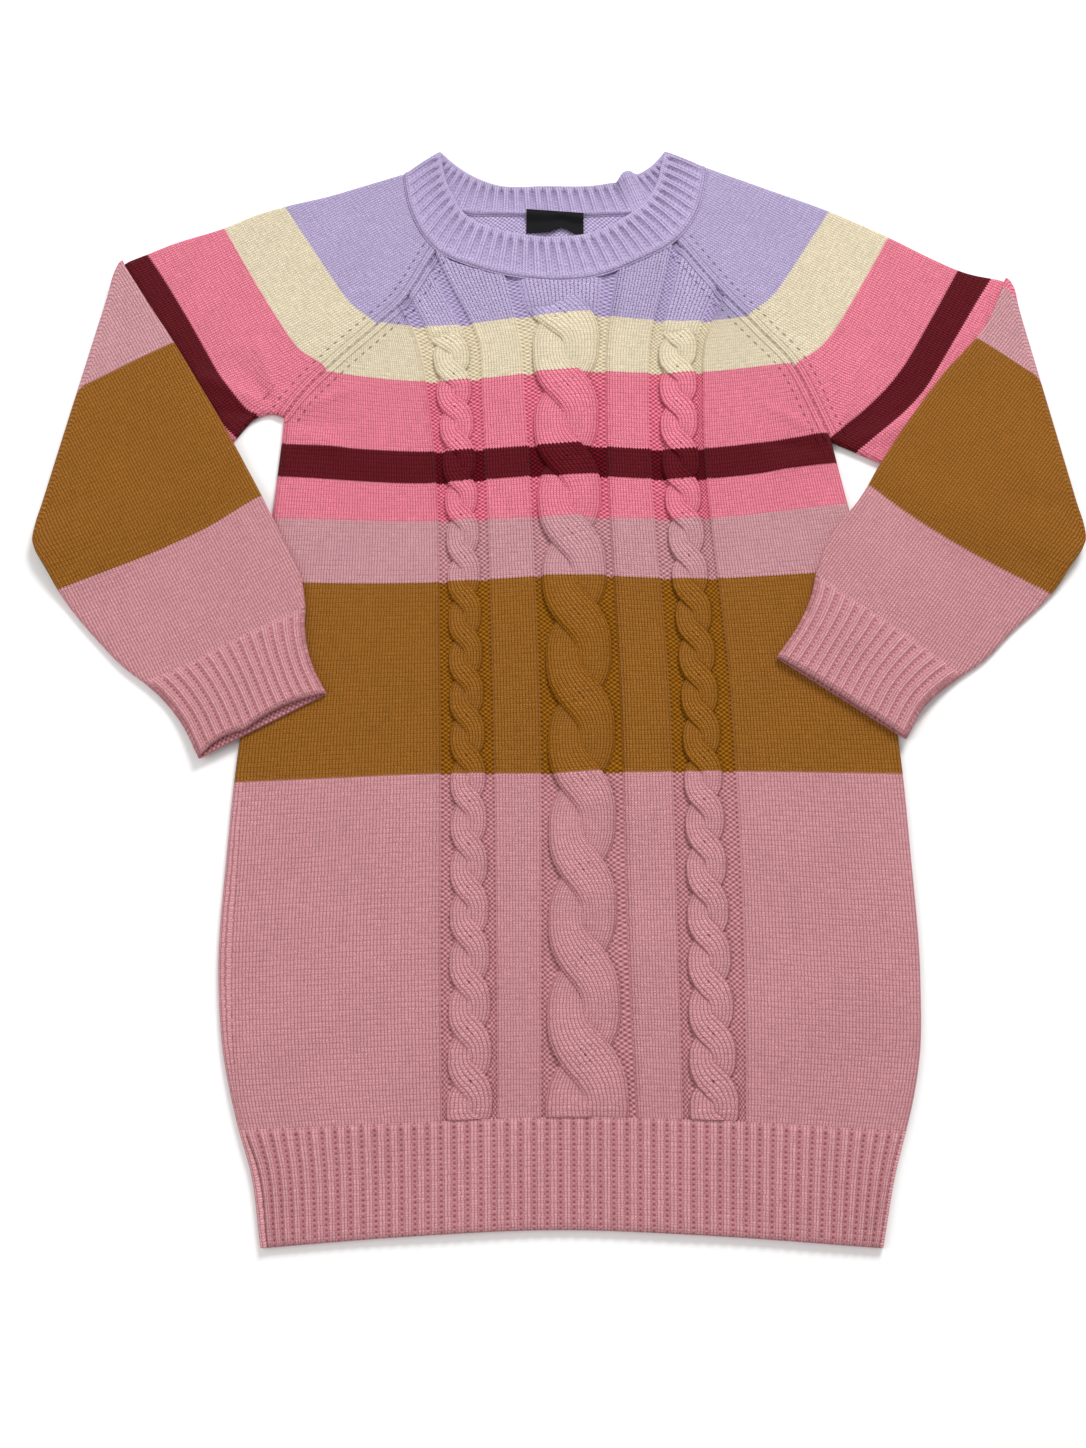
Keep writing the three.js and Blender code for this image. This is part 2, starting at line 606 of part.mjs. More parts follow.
function hemFront() {
  const solid = new Solid();
  const rows = HEM_ROWS;
  const start = (y) => bodyLeft(y) + sideWrap(y);
  const stop = (y) => bodyRight(y) - BEND;
  const flat = [{ share: 0, rise: 0 }, ...ribStations(HEM_RIBS), { share: 1, rise: 0 }];
  const folds = [ARC / 2, SEAM / 2].map(foldOuter);
  const heightOf = (x, t) => mix(hemSeam(x) - SEAM, hemEnd(x), t);
  const place = (xAt, row) => {
    const t = row / rows;
    const guess = heightOf(xAt(-330), t);
    return [xAt(guess), heightOf(xAt(guess), t)];
  };
  const order = range(rows + 1).map((row) => rows - row);
  const outer = flat.map(({ share, rise }) => order.map((row) => {
    const [x, y] = place((at) => mix(start(at), stop(at), share), row);
    return [x, y, LAYER + RIB_RISE * rise * (row === rows ? 0.4 : 1)];
  }));
  const inner = flat.map(({ share }) => order.map((row) => {
    const [x, y] = place((at) => mix(start(at), stop(at), share), row);
    return [x, y, LAYER - WALL];
  }));
  folds.forEach(({ inset, z }, i) => {
    const innerInset = BEND - INNER_BEND + (i === 0 ? 0.15 : 0);
    outer.push(order.map((row) => [...place((at) => bodyRight(at) - inset, row), z]));
    inner.push(order.map((row) => [...place((at) => bodyRight(at) - innerInset, row), LAYER - WALL]));
  });
  closedSheet(solid, outer, inner);
  return solid.mesh('hem_rib_front', COLOURS.dusty);
}

function hemBack() {
  const solid = new Solid();
  const rows = HEM_ROWS;
  const section = backSection();
  const order = range(rows + 1).map((row) => row / rows);
  const sheet = (xOf, zOf) => section.map((part) => order.map((t) => {
    const at = xOf(part);
    const guess = mix(hemSeam(at(-330)) - SEAM, hemEnd(at(-330)), t);
    const x = at(guess);
    return [x, mix(hemSeam(x) - SEAM, hemEnd(x), t), zOf(part)];
  }));
  closedSheet(solid, sheet((part) => part.outer, (part) => part.z),
    sheet((part) => part.inner ?? part.outer, (part) => part.insideZ));
  return solid.mesh('hem_rib_back', COLOURS.dusty);
}

// Neckband: a ring with ribs on the sides that can be seen
function neckSeamLine() {
  const cut = (knots, low, high) => knots.filter(([x]) => x > low + 0.01 && x < high - 0.01);
  const rows = (from, to) => NECKBAND.slice(from, to).map((row) => [row.seamX, row.seamY]);
  const corner = (seams, x) => [x, seamHeight(seams, x)];
  const [f, b] = [FRONT_CORNERS, BACK_CORNERS];
  const front = [...rows(0, 3), corner(frontSeams, f.left), ...cut(frontKnots, f.left, f.right),
    corner(frontSeams, f.right), ...rows(10, 13)];
  const back = [...rows(12, 14), corner(backSeams, b.right), ...cut(backKnots, b.left, b.right).reverse(),
    corner(backSeams, b.left), ...rows(19, 20), ...rows(0, 1)];
  return { front, back };
}

function neckband() {
  const solid = new Solid();
  const seams = neckSeamLine();
  const freeFront = path(NECKBAND.slice(0, 13).map((row) => [row.freeX, row.freeY]));
  const freeBack = path([...NECKBAND.slice(12), NECKBAND[0]].map((row) => [row.freeX, row.freeY]));
  const frontAt = straightPath(seams.front);
  const backAt = straightPath(seams.back);
  const stationsOf = (count) => ribStations(count)
    .map(({ share, rise }) => ({ share: mix(SHOULDER.turn, 1 - SHOULDER.turn, share), rise }));
  const withKnots = (list, line) => {
    const extra = line.shares.filter((share) => share > SHOULDER.turn && share < 1 - SHOULDER.turn
      && list.every((station) => Math.abs(station.share - share) > 0.002));
    const riseAt = (share) => {
      const next = list.findIndex((station) => station.share > share);
      if (next <= 0) return 0;
      const [a, b] = [list[next - 1], list[next]];
      return mix(a.rise, b.rise, (share - a.share) / (b.share - a.share));
    };
    const knots = extra.map((share) => ({ share, rise: riseAt(share) }));
    return [...list, ...knots].sort((a, b) => a.share - b.share);
  };
  const radius = (LAYER - WALL) / 2;
  const ringPoint = (line, free, share, tilt) => {
    const angle = Math.PI / 2 * tilt;
    return { seam: line.at(share), free: free(share), up: Math.sin(angle), out: Math.cos(angle) };
  };
  const stations = [];
  const frontList = withKnots(stationsOf(COLLAR_FRONT_RIBS), frontAt);
  const backList = withKnots(stationsOf(COLLAR_BACK_RIBS), backAt);
  const { part, tilt } = SHOULDER;
  const onFrontBand = (share, up) => ringPoint(frontAt, freeFront, share, up);
  const onBackBand = (share, up) => ringPoint(backAt, freeBack, share, up);
  stations.push({ ...onFrontBand(0, 0), rise: 0, side: -1 });
  stations.push({ ...onFrontBand(part, tilt), rise: 0, side: -1 });
  frontList.forEach((station) => stations.push({ ...onFrontBand(station.share, 1), ...station }));
  stations.push({ ...onFrontBand(1 - part, tilt), rise: 0, side: 1 });
  stations.push({ ...onFrontBand(1, 0), rise: 0, side: 1 });
  stations.push({ ...onBackBand(part, -tilt), rise: 0, side: 1 });
  backList.forEach((station) => stations.push({ ...onBackBand(station.share, -1), ...station }));
  stations.push({ ...onBackBand(1 - part, -tilt), rise: 0, side: -1 });

  // Outward direction in the plane at the two shoulder folds, square to the fold
  const outward = (station) => {
    if (!station.side) return [0, 0];
    const { seam, free } = station;
    const along = new THREE.Vector2(free[0] - seam[0], free[1] - seam[1]).normalize();
    return station.side < 0 ? [-along.y, along.x] : [along.y, -along.x];
  };
  const rings = stations.map((station) => {
    const [ox, oy] = outward(station);
    const point = (share, side) => {
      const [x, y] = mixPoint(station.seam, station.free, share);
      const ribbed = station.up > 0 ? 1 : -1;
      const rise = side === ribbed ? station.rise * RIB_RISE * mix(0.6, 1, share) : 0;
      const reach = (radius + side * (WALL / 2)) * station.out - BEND * Math.abs(station.out);
      const z = MID + station.up * (radius + side * (WALL / 2)) + rise;
      return solid.add(x + ox * reach, y + oy * reach, z);
    };
    return [point(0, 1), point(1, 1), point(1, -1), point(0, -1)];
  });
  range(rings.length).forEach((i) => {
    const here = rings[i];
    const next = rings[(i + 1) % rings.length];
    solid.quads([...here, here[0]], [...next, next[0]]);
  });
  return solid.mesh('neckband', COLOURS.lilac);
}

// Distance from a point to the outside of a closed outline, 0 when it is inside
function outsideBy(outline, x, y) {
  let inside = false;
  let nearest = Infinity;
  outline.forEach(([ax, ay], i) => {
    const [bx, by] = outline[(i + 1) % outline.length];
    if ((ay > y) !== (by > y) && x < (bx - ax) * (y - ay) / (by - ay) + ax) inside = !inside;
    const length2 = (bx - ax) ** 2 + (by - ay) ** 2;
    const t = clamp(((x - ax) * (bx - ax) + (y - ay) * (by - ay)) / length2, 0, 1);
    nearest = Math.min(nearest, Math.hypot(x - mix(ax, bx, t), y - mix(ay, by, t)));
  });
  return inside ? 0 : nearest;
}

const bodyOutline = [
  ...SIDES.map((row) => [row.left, row.y]),
  ...SIDES.map((row) => [row.right, row.y]).reverse(),
];

// Height at which a folded forearm lies: on the layers under it, and down on the surface beside them
function restingHeight(sleeve) {
  const upperArm = [...sleeve.overArm, ...[...sleeve.underArm].reverse()];
  return (x, y) => {
    const away = Math.min(outsideBy(upperArm, x, y), outsideBy(bodyOutline, x, y));
    return STACKED * (1 - smooth(clamp((away - SETTLE_FROM) / SETTLE, 0, 1)));
  };
}

// A patch between four lines: a and b run along it, start and end across it
function patch(a, b, start, end) {
  return (u, v) => range(2).map((i) => {
    const across = mix(start(u)[i], end(u)[i], v);
    const along = mix(a(v)[i], b(v)[i], u);
    const corners = mix(mix(start(0)[i], start(1)[i], u), mix(end(0)[i], end(1)[i], u), v);
    return across + along - corners;
  });
}

// The seam line of a sleeve with the body and the neckband, from the armpit to the shoulder
function sleeveSeam(side, layer) {
  const isLeft = side === 'left';
  const knots = layer === 'front' ? frontKnots : backKnots;
  const cornerX = (layer === 'front' ? FRONT_CORNERS : BACK_CORNERS)[side];
  const beyond = knots.filter(([x]) => (isLeft ? x < cornerX - 0.01 : x > cornerX + 0.01));
  const raglan = isLeft ? beyond : [...beyond].reverse();
  const corner = knots.find(([x]) => Math.abs(x - cornerX) < 0.01);
  const lines = neckSeamLine();
  const neck = {
    front: { left: lines.front.slice(0, 4).reverse(), right: lines.front.slice(-4) },
    back: { left: lines.back.slice(-3), right: lines.back.slice(0, 3).reverse() },
  }[layer][side];
  const before = raglan[raglan.length - 1];
  const length = Math.hypot(corner[0] - before[0], corner[1] - before[1]);
  const shortened = mixPoint(corner, before, SEAM * 1.4 / length);
  const shifted = shiftLine(neck, isLeft ? SEAM : -SEAM).slice(1);
  return [...raglan, shortened, ...shifted];
}

// The points across a sleeve's layer, by their share of its width
function sleeveParts(seam, width) {
  const { shares } = straightPath(seam);
  const rim = BEND / width;
  return shares.slice(1, -1).filter((share) => share > rim + 0.01 && share < 1 - rim - 0.01);
}

function sleeveShape(side) {
  const sleeve = SLEEVES[side];
  const seams = { top: sleeveSeam(side, 'front'), bottom: sleeveSeam(side, 'back') };
  const overArm = path(sleeve.overArm);
  const underArm = path(sleeve.underArm);
  const shoulder = seams.top[seams.top.length - 1];
  const armpit = seams.top[0];
  const blend = (line, ends) => (v) => {
    const p = line(v);
    const fix = (1 - v) ** 6;
    return [p[0] + (ends[0] - line(0)[0]) * fix, p[1] + (ends[1] - line(0)[1]) * fix];
  };
  const fold = (u) => mixPoint(sleeve.underArm.at(-1), sleeve.overArm.at(-1), u);
  const seamAt = (points) => {
    const line = straightPath(points);
    return (u) => line.at(u);
  };
  const upper = {};
  ['top', 'bottom'].forEach((layer) => {
    const line = seams[layer];
    line[0] = [...armpit];
    line[line.length - 1] = [...shoulder];
    upper[layer] = patch(blend(underArm, armpit), blend(overArm, shoulder), seamAt(line), fold);
  });
  const innerEdge = path(sleeve.innerEdge);
  const outerEdge = path(sleeve.outerEdge);
  const cuffSeam = (u) => mixPoint(sleeve.outerEdge.at(-1), sleeve.innerEdge.at(-1), u);
  const forearm = patch(outerEdge, innerEdge, fold, cuffSeam);
  return { upper, forearm, seams, height: restingHeight(sleeve), sleeve };
}

// One ring of a flattened tube: its points as shares across and heights, outside or inside
function tubeRing(parts, width, isOuter) {
  const radius = isOuter ? BEND : INNER_BEND;
  const arcs = [-1, -0.5, 0, 0.5, 1].map((step) => {
    const angle = step * Math.PI / 2;
    return { inset: BEND - radius * Math.cos(angle), z: MID + radius * Math.sin(angle) };
  });
  const lower = arcs.map(({ inset, z }) => ({ share: inset / width, z }));
  const upper = [...arcs].reverse().map(({ inset, z }) => ({ share: 1 - inset / width, z }));
  const top = parts.top.map((share) => ({ share, z: MID + radius }));
  const bottom = [...parts.bottom].reverse().map((share) => ({ share, z: MID - radius }));
  return [...lower, ...top, ...upper, ...bottom];
}

// Closes a tube from its outer and inner rings of points
function closedTube(solid, outer, inner, flip) {
  const ids = (rings) => rings.map((ring) => ring.map((p) => solid.add(...p)));
  const [outerIds, innerIds] = [ids(outer), ids(inner)];
  const loop = (ring) => [...ring, ring[0]];
  const join = (a, b) => (flip ? solid.quads(loop(b), loop(a)) : solid.quads(loop(a), loop(b)));
  range(outer.length - 1).forEach((i) => {
    join(outerIds[i], outerIds[i + 1]);
    join(innerIds[i + 1], innerIds[i]);
  });
  join(innerIds[0], outerIds[0]);
  join(outerIds.at(-1), innerIds.at(-1));
}

function sleeveSolid(side) {
  const solid = new Solid();
  const shape = sleeveShape(side);
  const parts = {
    top: sleeveParts(shape.seams.top, SLEEVE_WIDTH),
    bottom: sleeveParts(shape.seams.bottom, SLEEVE_WIDTH),
  };
  const axisZ = LAYER + SEAM / 2;
  const [foldStart, foldStop] = [shape.sleeve.underArm.at(-1), shape.sleeve.overArm.at(-1)];
  const along = new THREE.Vector2(foldStop[0] - foldStart[0], foldStop[1] - foldStart[1]).normalize();
  const out = side === 'left' ? [-along.y, along.x] : [along.y, -along.x];
  const rings = (isOuter) => {
    const ring = tubeRing(parts, SLEEVE_WIDTH, isOuter);
    const list = [];
    [0, 0.12, 0.3, 0.5, 0.75, 1].forEach((v) => {
      list.push(ring.map(({ share, z }) => {
        const layer = z >= MID ? 'top' : 'bottom';
        return [...shape.upper[layer](share, v), z];
      }));
    });
    [0.25, 0.5, 0.75].forEach((turn) => {
      list.push(ring.map(({ share, z }) => {
        const [x, y] = shape.upper.top(share, 1);
        const radius = axisZ - z;
        const reach = radius * Math.sin(turn * Math.PI);
        return [x + out[0] * reach, y + out[1] * reach, axisZ - radius * Math.cos(turn * Math.PI)];
      }));
    });
    [0, 0.06, 0.18, 0.32, 0.5, 0.68, 0.84, 1].forEach((v) => {
      list.push(ring.map(({ share, z }) => {
        const [x, y] = shape.forearm(share, v);
        return [x, y, shape.height(x, y) + LAYER - z];
      }));
    });
    return list;
  };
  closedTube(solid, rings(true), rings(false), side === 'left');
  return solid.mesh(`sleeve_${side}`, COLOURS.mustard);
}

function cuffSolid(side) {
  const solid = new Solid();
  const { sleeve, height } = sleeveShape(side);
  const ribs = ribStations(CUFF_RIBS);
  const rim = BEND / CUFF_WIDTH;
  const plain = range(7).map((i) => mix(rim, 1 - rim, (i + 1) / 8));
  const inner = path(sleeve.cuffInner);
  const outer = path(sleeve.cuffOuter);
  const seamLine = (u) => mixPoint(sleeve.cuffOuter[0], sleeve.cuffInner[0], u);
  const endLine = (u) => mixPoint(sleeve.cuffOuter.at(-1), sleeve.cuffInner.at(-1), u);
  const shape = patch(outer, inner, seamLine, endLine);
  const steps = [SEAM / CUFF_LENGTH, 0.33, 0.68, 0.95, 1];
  const top = ribs.map(({ share, rise }) => ({ share: mix(rim, 1 - rim, share), rise }));
  const ringOf = (isOuter) => {
    const radius = isOuter ? BEND : INNER_BEND;
    const arc = (sign, step) => {
      const angle = step * Math.PI / 2;
      const inset = (BEND - radius * Math.cos(angle)) / CUFF_WIDTH;
      return { share: sign < 0 ? inset : 1 - inset, z: MID + radius * Math.sin(angle), rise: 0 };
    };
    return [
      ...[-1, -0.5, 0, 0.5, 1].map((step) => arc(-1, step)),
      ...top.map(({ share, rise }) => ({ share, z: MID + radius, rise: isOuter ? rise * RIB_RISE : 0 })),
      ...[1, 0.5, 0, -0.5, -1].map((step) => arc(1, step)),
      ...[...plain].reverse().map((share) => ({ share, z: MID - radius, rise: 0 })),
    ];
  };
  const rings = (isOuter) => steps.map((v) => ringOf(isOuter).map(({ share, z, rise }) => {
    const bow = v * v * Math.sin(Math.PI * clamp(share, 0, 1));
    const pulled = z > MID ? sleeve.open / CUFF_LENGTH * bow : 0;
    const [x, y] = shape(share, v - pulled);
    const edge = v > 0.99 || v < 0.02 ? 0.4 : 1;
    return [x, y, height(x, y) + z + rise * edge];
  }));
  closedTube(solid, rings(true), rings(false), side === 'right');
  return solid.mesh(`cuff_${side}`, COLOURS.dusty);
}

// Label: a bare woven strip that stands in a low wave on the inside of the back
function neckLabel() {
  const solid = new Solid();
  const columns = 10;
  const rows = 4;
  const ground = WALL + SEAM;
  const at = (i, k, raise) => {
    const [u, v] = [i / columns, k / rows];
    const y = mix(LABEL.bottom, LABEL.top, v);
    const lift = LABEL.wave * Math.sin(Math.PI * u) ** 2 * (1 - v) + 0.3 * (1 - v);
    return [mix(LABEL.left, LABEL.right, u), y, ground + raise + lift];
  };
  const sheet = (raise) => range(columns + 1).map((i) => range(rows + 1).map((k) => at(i, k, raise)));
  closedSheet(solid, sheet(LABEL.thick), sheet(0));
  return solid.mesh('neck_label', COLOURS.black);
}

const dress = new THREE.Group();
dress.add(
  frontPanel(), backPanel(), hemFront(), hemBack(), neckband(), neckLabel(),
  sleeveSolid('left'), sleeveSolid('right'), cuffSolid('left'), cuffSolid('right'),
);
export default dress;
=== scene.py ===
"""Looks of a child's knitted sweater dress that lies flat, its forearms folded over the front.

Lengths in the tables are millimetres in the frame's own axes, and the meshes are made in metres.
Each knitted point carries its place in the cloth: millimetres across the columns, millimetres
along the courses, and whether it shows the purl side.
"""
import math

import bpy
import numpy as np
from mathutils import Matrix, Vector


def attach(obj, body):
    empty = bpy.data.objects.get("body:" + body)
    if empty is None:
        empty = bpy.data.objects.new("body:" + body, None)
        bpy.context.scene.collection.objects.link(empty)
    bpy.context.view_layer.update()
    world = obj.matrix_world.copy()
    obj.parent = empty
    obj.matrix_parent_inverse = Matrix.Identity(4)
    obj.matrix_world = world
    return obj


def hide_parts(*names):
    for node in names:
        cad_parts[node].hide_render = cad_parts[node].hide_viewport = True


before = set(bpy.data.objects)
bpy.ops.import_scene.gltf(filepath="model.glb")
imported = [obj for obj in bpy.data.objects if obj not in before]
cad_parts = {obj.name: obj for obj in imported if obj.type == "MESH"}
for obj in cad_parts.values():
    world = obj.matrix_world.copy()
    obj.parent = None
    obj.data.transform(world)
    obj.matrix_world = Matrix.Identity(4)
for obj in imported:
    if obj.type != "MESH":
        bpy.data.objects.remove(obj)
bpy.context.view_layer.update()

MM = 0.001

# Layers of the laid cloth
LAYER = 4.6
WALL = 2.0
BEND = 2.3
MID = 2.3
INNER_BEND = 0.3
SEAM = 0.3
STACKED = 4.9
SETTLE_FROM = 8.0
SETTLE = 40.0

# Knitting: width of a column and height of a course
WALE = 1.86
COURSE = 1.5

# Colours as they show on screen, 0 to 255
LILAC = (177, 163, 200)
CREAM = (223, 209, 180)
PINK = (226, 122, 143)
BURGUNDY = (92, 8, 20)
MAUVE = (200, 146, 153)
MUSTARD = (147, 93, 26)
DUSTY = (201, 141, 147)
BLACK = (12, 12, 15)

# Body outline: y, left edge, right edge, and how far in the left side seam lies
SIDES = np.array([
    [-361, -162, 173, 4], [-320, -170, 183, 4.5], [-300, -177, 189.5, 3.5], [-282, -182.5, 195, 4],
    [-260, -188, 200, 6], [-215, -194, 204, 8], [-140, -194, 204, 7], [-70, -191, 202, 5],
    [0, -184, 195, 4], [50, -181, 188, 3.5], [110, -178, 178, 3], [134, -176.6, 174, 3],
    [152, -176, 171, 3],
])

# Front columns: y, then the outer edge, cable edges and outer edge of the left, middle and right
# cable with the purl troughs beside it
COLUMNS = np.array([
    [-288, -66, -63, -38, -35, -11, -8, 37, 42, 67, 71, 98, 102],
    [-227, -68, -63, -40, -36, -11, -7, 33, 40, 67, 72, 97, 104],
    [-44, -72, -66, -46, -40, -12, -7, 32, 37, 66, 73, 95, 103],
    [164, -84, -78, -56, -49, -22, -16, 25, 31, 58, 65, 89, 93],
    [209, -92, -84, -60, -52, -25, -17, 26, 32, 60, 66, 91, 96],
    [256, -113, -105, -80, -72, -35, -27, 30, 39, 70, 76, 108, 115],
])

# Courses across the front: level, and the height at five places from left to right
PLACES = [-175, -85, 0, 88, 178]
COURSES = np.array([
    [-292, -299, -295, -292, -294, -299], [-92, -97, -93, -92, -91, -92], [37, 32, 32, 37, 35, 40],
    [78, 77, 75, 78, 77, 87], [108, 107, 102, 108, 105, 117], [130, 131, 125, 130, 127, 140],
    [184, 188, 176, 184, 183, 194], [228, 234, 218, 228, 222, 236], [260, 266, 250, 260, 254, 268],
])
LOWEST = -292

# Seams of the yoke, from the left armpit over the neck to the right armpit
FRONT_RAGLAN_LEFT = [(-176, 152), (-166, 168), (-148, 190), (-117, 223), (-101, 241), (-81, 280)]
FRONT_NECK = [(-81, 280), (-72, 272), (-52, 265), (-25, 258), (-5, 255.7), (14, 256.3), (28, 259.6),
              (44, 266.5), (61, 275), (79, 288)]
FRONT_RAGLAN_RIGHT = [(79, 288), (107, 248), (132, 217), (156, 183), (167, 154), (174, 134)]
BACK_RAGLAN_LEFT = [(-176, 152), (-152, 184), (-120, 226), (-92, 268), (-66, 311)]
BACK_NECK = [(-66, 311), (-36, 309), (-2, 308), (32, 309), (62, 312)]
BACK_RAGLAN_RIGHT = [(62, 312), (92, 270), (122, 224), (150, 180), (167, 153), (174, 134)]

# Neckband: seam edge and free edge, from the left shoulder round the front and back again
NECKBAND = [
    (-104.5, 342.5, -80, 361.5), (-101, 320, -76, 338), (-94, 299.5, -69, 320),
    (-81, 280, -61, 307), (-52, 265, -41, 296.5), (-25, 258, -19, 291), (4, 255.7, 1, 290),
    (28, 259.6, 24, 294), (52, 270.5, 42, 304), (79, 288, 60, 321), (92, 307.6, 67, 335),
    (98, 328, 70, 348), (101, 348, 73, 361.5), (84, 326, 63, 349), (62, 312, 44, 338),
    (32, 309, 28, 334), (-2, 308, -8, 333), (-36, 309, -42, 334), (-66, 311, -57, 341),
    (-87, 322, -70, 351),
]

HEM_END = ([-162, -87, 0, 75, 173], [-361.5, -355.7, -352, -354.7, -361.5])

SLEEVES = {
    "left": {
        "over": [(-104.5, 342.5), (-133, 332), (-155, 324), (-181, 316.5), (-202, 309), (-223, 298.5),
                 (-262, 283), (-285.5, 268)],
        "under": [(-176, 152), (-185, 155), (-194, 152), (-208, 135), (-227, 113), (-257, 88),
                  (-292, 69), (-321.5, 59)],
        "inner": [(-285.5, 268), (-277, 251), (-245, 198), (-207.5, 133), (-171, 62), (-158.5, 35),
                  (-155, 15)],
        "outer": [(-321.5, 59), (-307.5, 31), (-280, -5), (-264, -22), (-250, -33)],
        "cuff_inner": [(-155, 15), (-155, 4), (-149, -23), (-140, -41)],
        "cuff_outer": [(-250, -33), (-240, -42), (-227, -58), (-214, -82)],
        "open": 5.0,
        "axis": (-0.85, -0.53), "fore_axis": (0.47, -0.883),
        "stripes": [-11, 33, 85, 103.5, 117, 188, 317],
    },
    "right": {
        "over": [(101, 348), (137, 332), (181, 312.6), (222, 290), (248, 274), (269, 262.5),
                 (292, 254)],
        "under": [(174, 134), (204, 119), (246.5, 97.6), (289, 76), (321.4, 60)],
        "inner": [(292, 254), (279, 221), (246, 179), (203, 116), (189, 92), (168, 64),
                  (157.5, 37)],
        "outer": [(321.4, 60), (303.5, 30), (275, 1), (257, -18), (243, -28)],
        "cuff_inner": [(157.5, 37), (155, 26), (146.5, 6), (131.5, -17)],
        "cuff_outer": [(243, -28), (229, -39), (218, -50), (206, -70)],
        "open": 1.0,
        "axis": (0.85, -0.53), "fore_axis": (-0.57, -0.82),
        "stripes": [-9, 33.5, 85, 105, 136, 177, 309],
    },
}

LABEL = {"left": -20, "right": 16, "top": 310.5, "bottom": 293, "thick": 0.5, "wave": 2.0}

# Ropes: edge columns, start of the first crossing, half turn, rise and crown height
CABLES = {
    "left": {"zone": 2, "start": 218, "turn": 27.15, "lift": 0.8, "crown": 1.5, "across": 20},
    "middle": {"zone": 6, "start": 230, "turn": 54.3, "lift": 1.2, "crown": 1.9, "across": 34},
    "right": {"zone": 10, "start": 217, "turn": 27.15, "lift": 0.8, "crown": 1.5, "across": 20},
}


def hermite(xs, ys, x):
    """A smooth curve through values, or through rows of values, going on straight past its ends."""
    xs = np.asarray(xs, float)
    ys = np.asarray(ys, float)
    x = np.atleast_1d(np.asarray(x, float))
    if ys.ndim == 1:
        ys = np.repeat(ys[:, None], x.size, axis=1)
    width = np.diff(xs)
    slope = np.diff(ys, axis=0) / width[:, None]
    inner = slope[:-1] * width[1:, None] + slope[1:] * width[:-1, None]
    tangent = np.vstack([slope[:1], inner / (width[1:] + width[:-1])[:, None], slope[-1:]])
    i = np.clip(np.searchsorted(xs, x, side="right") - 1, 0, xs.size - 2)
    at = np.arange(x.size)
    t = np.clip((x - xs[i]) / width[i], 0, 1)
    value = (1 + 2 * t) * (1 - t) ** 2 * ys[i, at] + t * t * (3 - 2 * t) * ys[i + 1, at]
    value += t * (1 - t) ** 2 * width[i] * tangent[i, at]
    value += t * t * (t - 1) * width[i] * tangent[i + 1, at]
    value += np.minimum(x - xs[0], 0) * tangent[0] + np.maximum(x - xs[-1], 0) * tangent[-1]
    return value


def smooth(t):
    t = np.clip(t, 0, 1)
    return t * t * (3 - 2 * t)


def path(points, between=hermite):
    """A curve in the plane through points, by the share of its length."""
    points = np.asarray(points, float)
    steps = np.hypot(*np.diff(points, axis=0).T)
    share = np.concatenate([[0], np.cumsum(steps)]) / steps.sum()
    return lambda t: np.stack([between(share, points[:, i], t) for i in (0, 1)], axis=1)


def straight(points):
    """The same with straight lines between the points."""
    return path(points, lambda share, values, t: np.interp(t, share, values))


def patch(a, b, start, end):
    """A patch between four lines: a and b run along it by v, start and end across it by u."""
    def at(u, v):
        u, v = np.broadcast_arrays(np.asarray(u, float), np.asarray(v, float))
        uu, vv = u.ravel(), v.ravel()
        s, e = start(uu), end(uu)
        across = s + (e - s) * vv[:, None]
        p, q = a(vv), b(vv)
        along = p + (q - p) * uu[:, None]
        s0, s1 = start(np.zeros(1)), start(np.ones(1))
        e0, e1 = end(np.zeros(1)), end(np.ones(1))
        low = s0 + (s1 - s0) * uu[:, None]
        high = e0 + (e1 - e0) * uu[:, None]
        return (across + along - low - (high - low) * vv[:, None]).reshape(*u.shape, 2)
    return at


def to_line(x, y, line):
    """Distance of points from a line of straight pieces, and how far along it the nearest place is."""
    line = np.asarray(line, float)
    shape = np.shape(x)
    p = np.stack([np.ravel(x), np.ravel(y)], axis=1)
    best = np.full(len(p), 1e9)
    along = np.zeros(len(p))
    done = 0.0
    for a, b in zip(line[:-1], line[1:]):
        length = np.hypot(*(b - a))
        t = np.clip(((p - a) @ (b - a)) / length ** 2, 0, 1)
        gap = np.hypot(*(p - a - t[:, None] * (b - a)).T)
        near = gap < best
        best = np.where(near, gap, best)
        along = np.where(near, done + t * length, along)
        done += length
    return best.reshape(shape), along.reshape(shape)


def bump(x, centre, width):
    return np.exp(-((x - centre) / width) ** 2)


def body_left(y):
    return hermite(SIDES[:, 0], SIDES[:, 1], y)


def body_right(y):
    return hermite(SIDES[:, 0], SIDES[:, 2], y)


def side_wrap(y):
    return hermite(SIDES[:, 0], SIDES[:, 3], y)


def front_edges(y):
    """All edges of the front's columns at heights y, from the left side seam to the right fold."""
    rows = [body_left(y) + side_wrap(y)]
    rows += [hermite(COLUMNS[:, 0], COLUMNS[:, i], y) for i in range(1, 13)]
    return np.stack(rows + [body_right(y) - BEND])


def course_height(x, level):
    heights = np.stack([hermite(COURSES[:, 0], COURSES[:, i + 1], level) for i in range(5)])
    return hermite(PLACES, heights, x)


def on_course(edge, level):
    """Place of a column at a course level. edge gives the column's x by its height."""
    shape = np.shape(level)
    level = np.ravel(level)
    first = course_height(edge(level), level)
    second = course_height(edge(first), level)
    return edge(second).reshape(shape), second.reshape(shape)


def front_column(c):
    """x by height for columns counted in edges, from 0 at the side seam to 13 at the right fold."""
    c = np.ravel(c)
    k = np.clip(c.astype(int), 0, 12)
    at = np.arange(c.size)

    def edge(y):
        edges = front_edges(y)
        return edges[k, at] + (edges[k + 1, at] - edges[k, at]) * (c - k)
    return edge


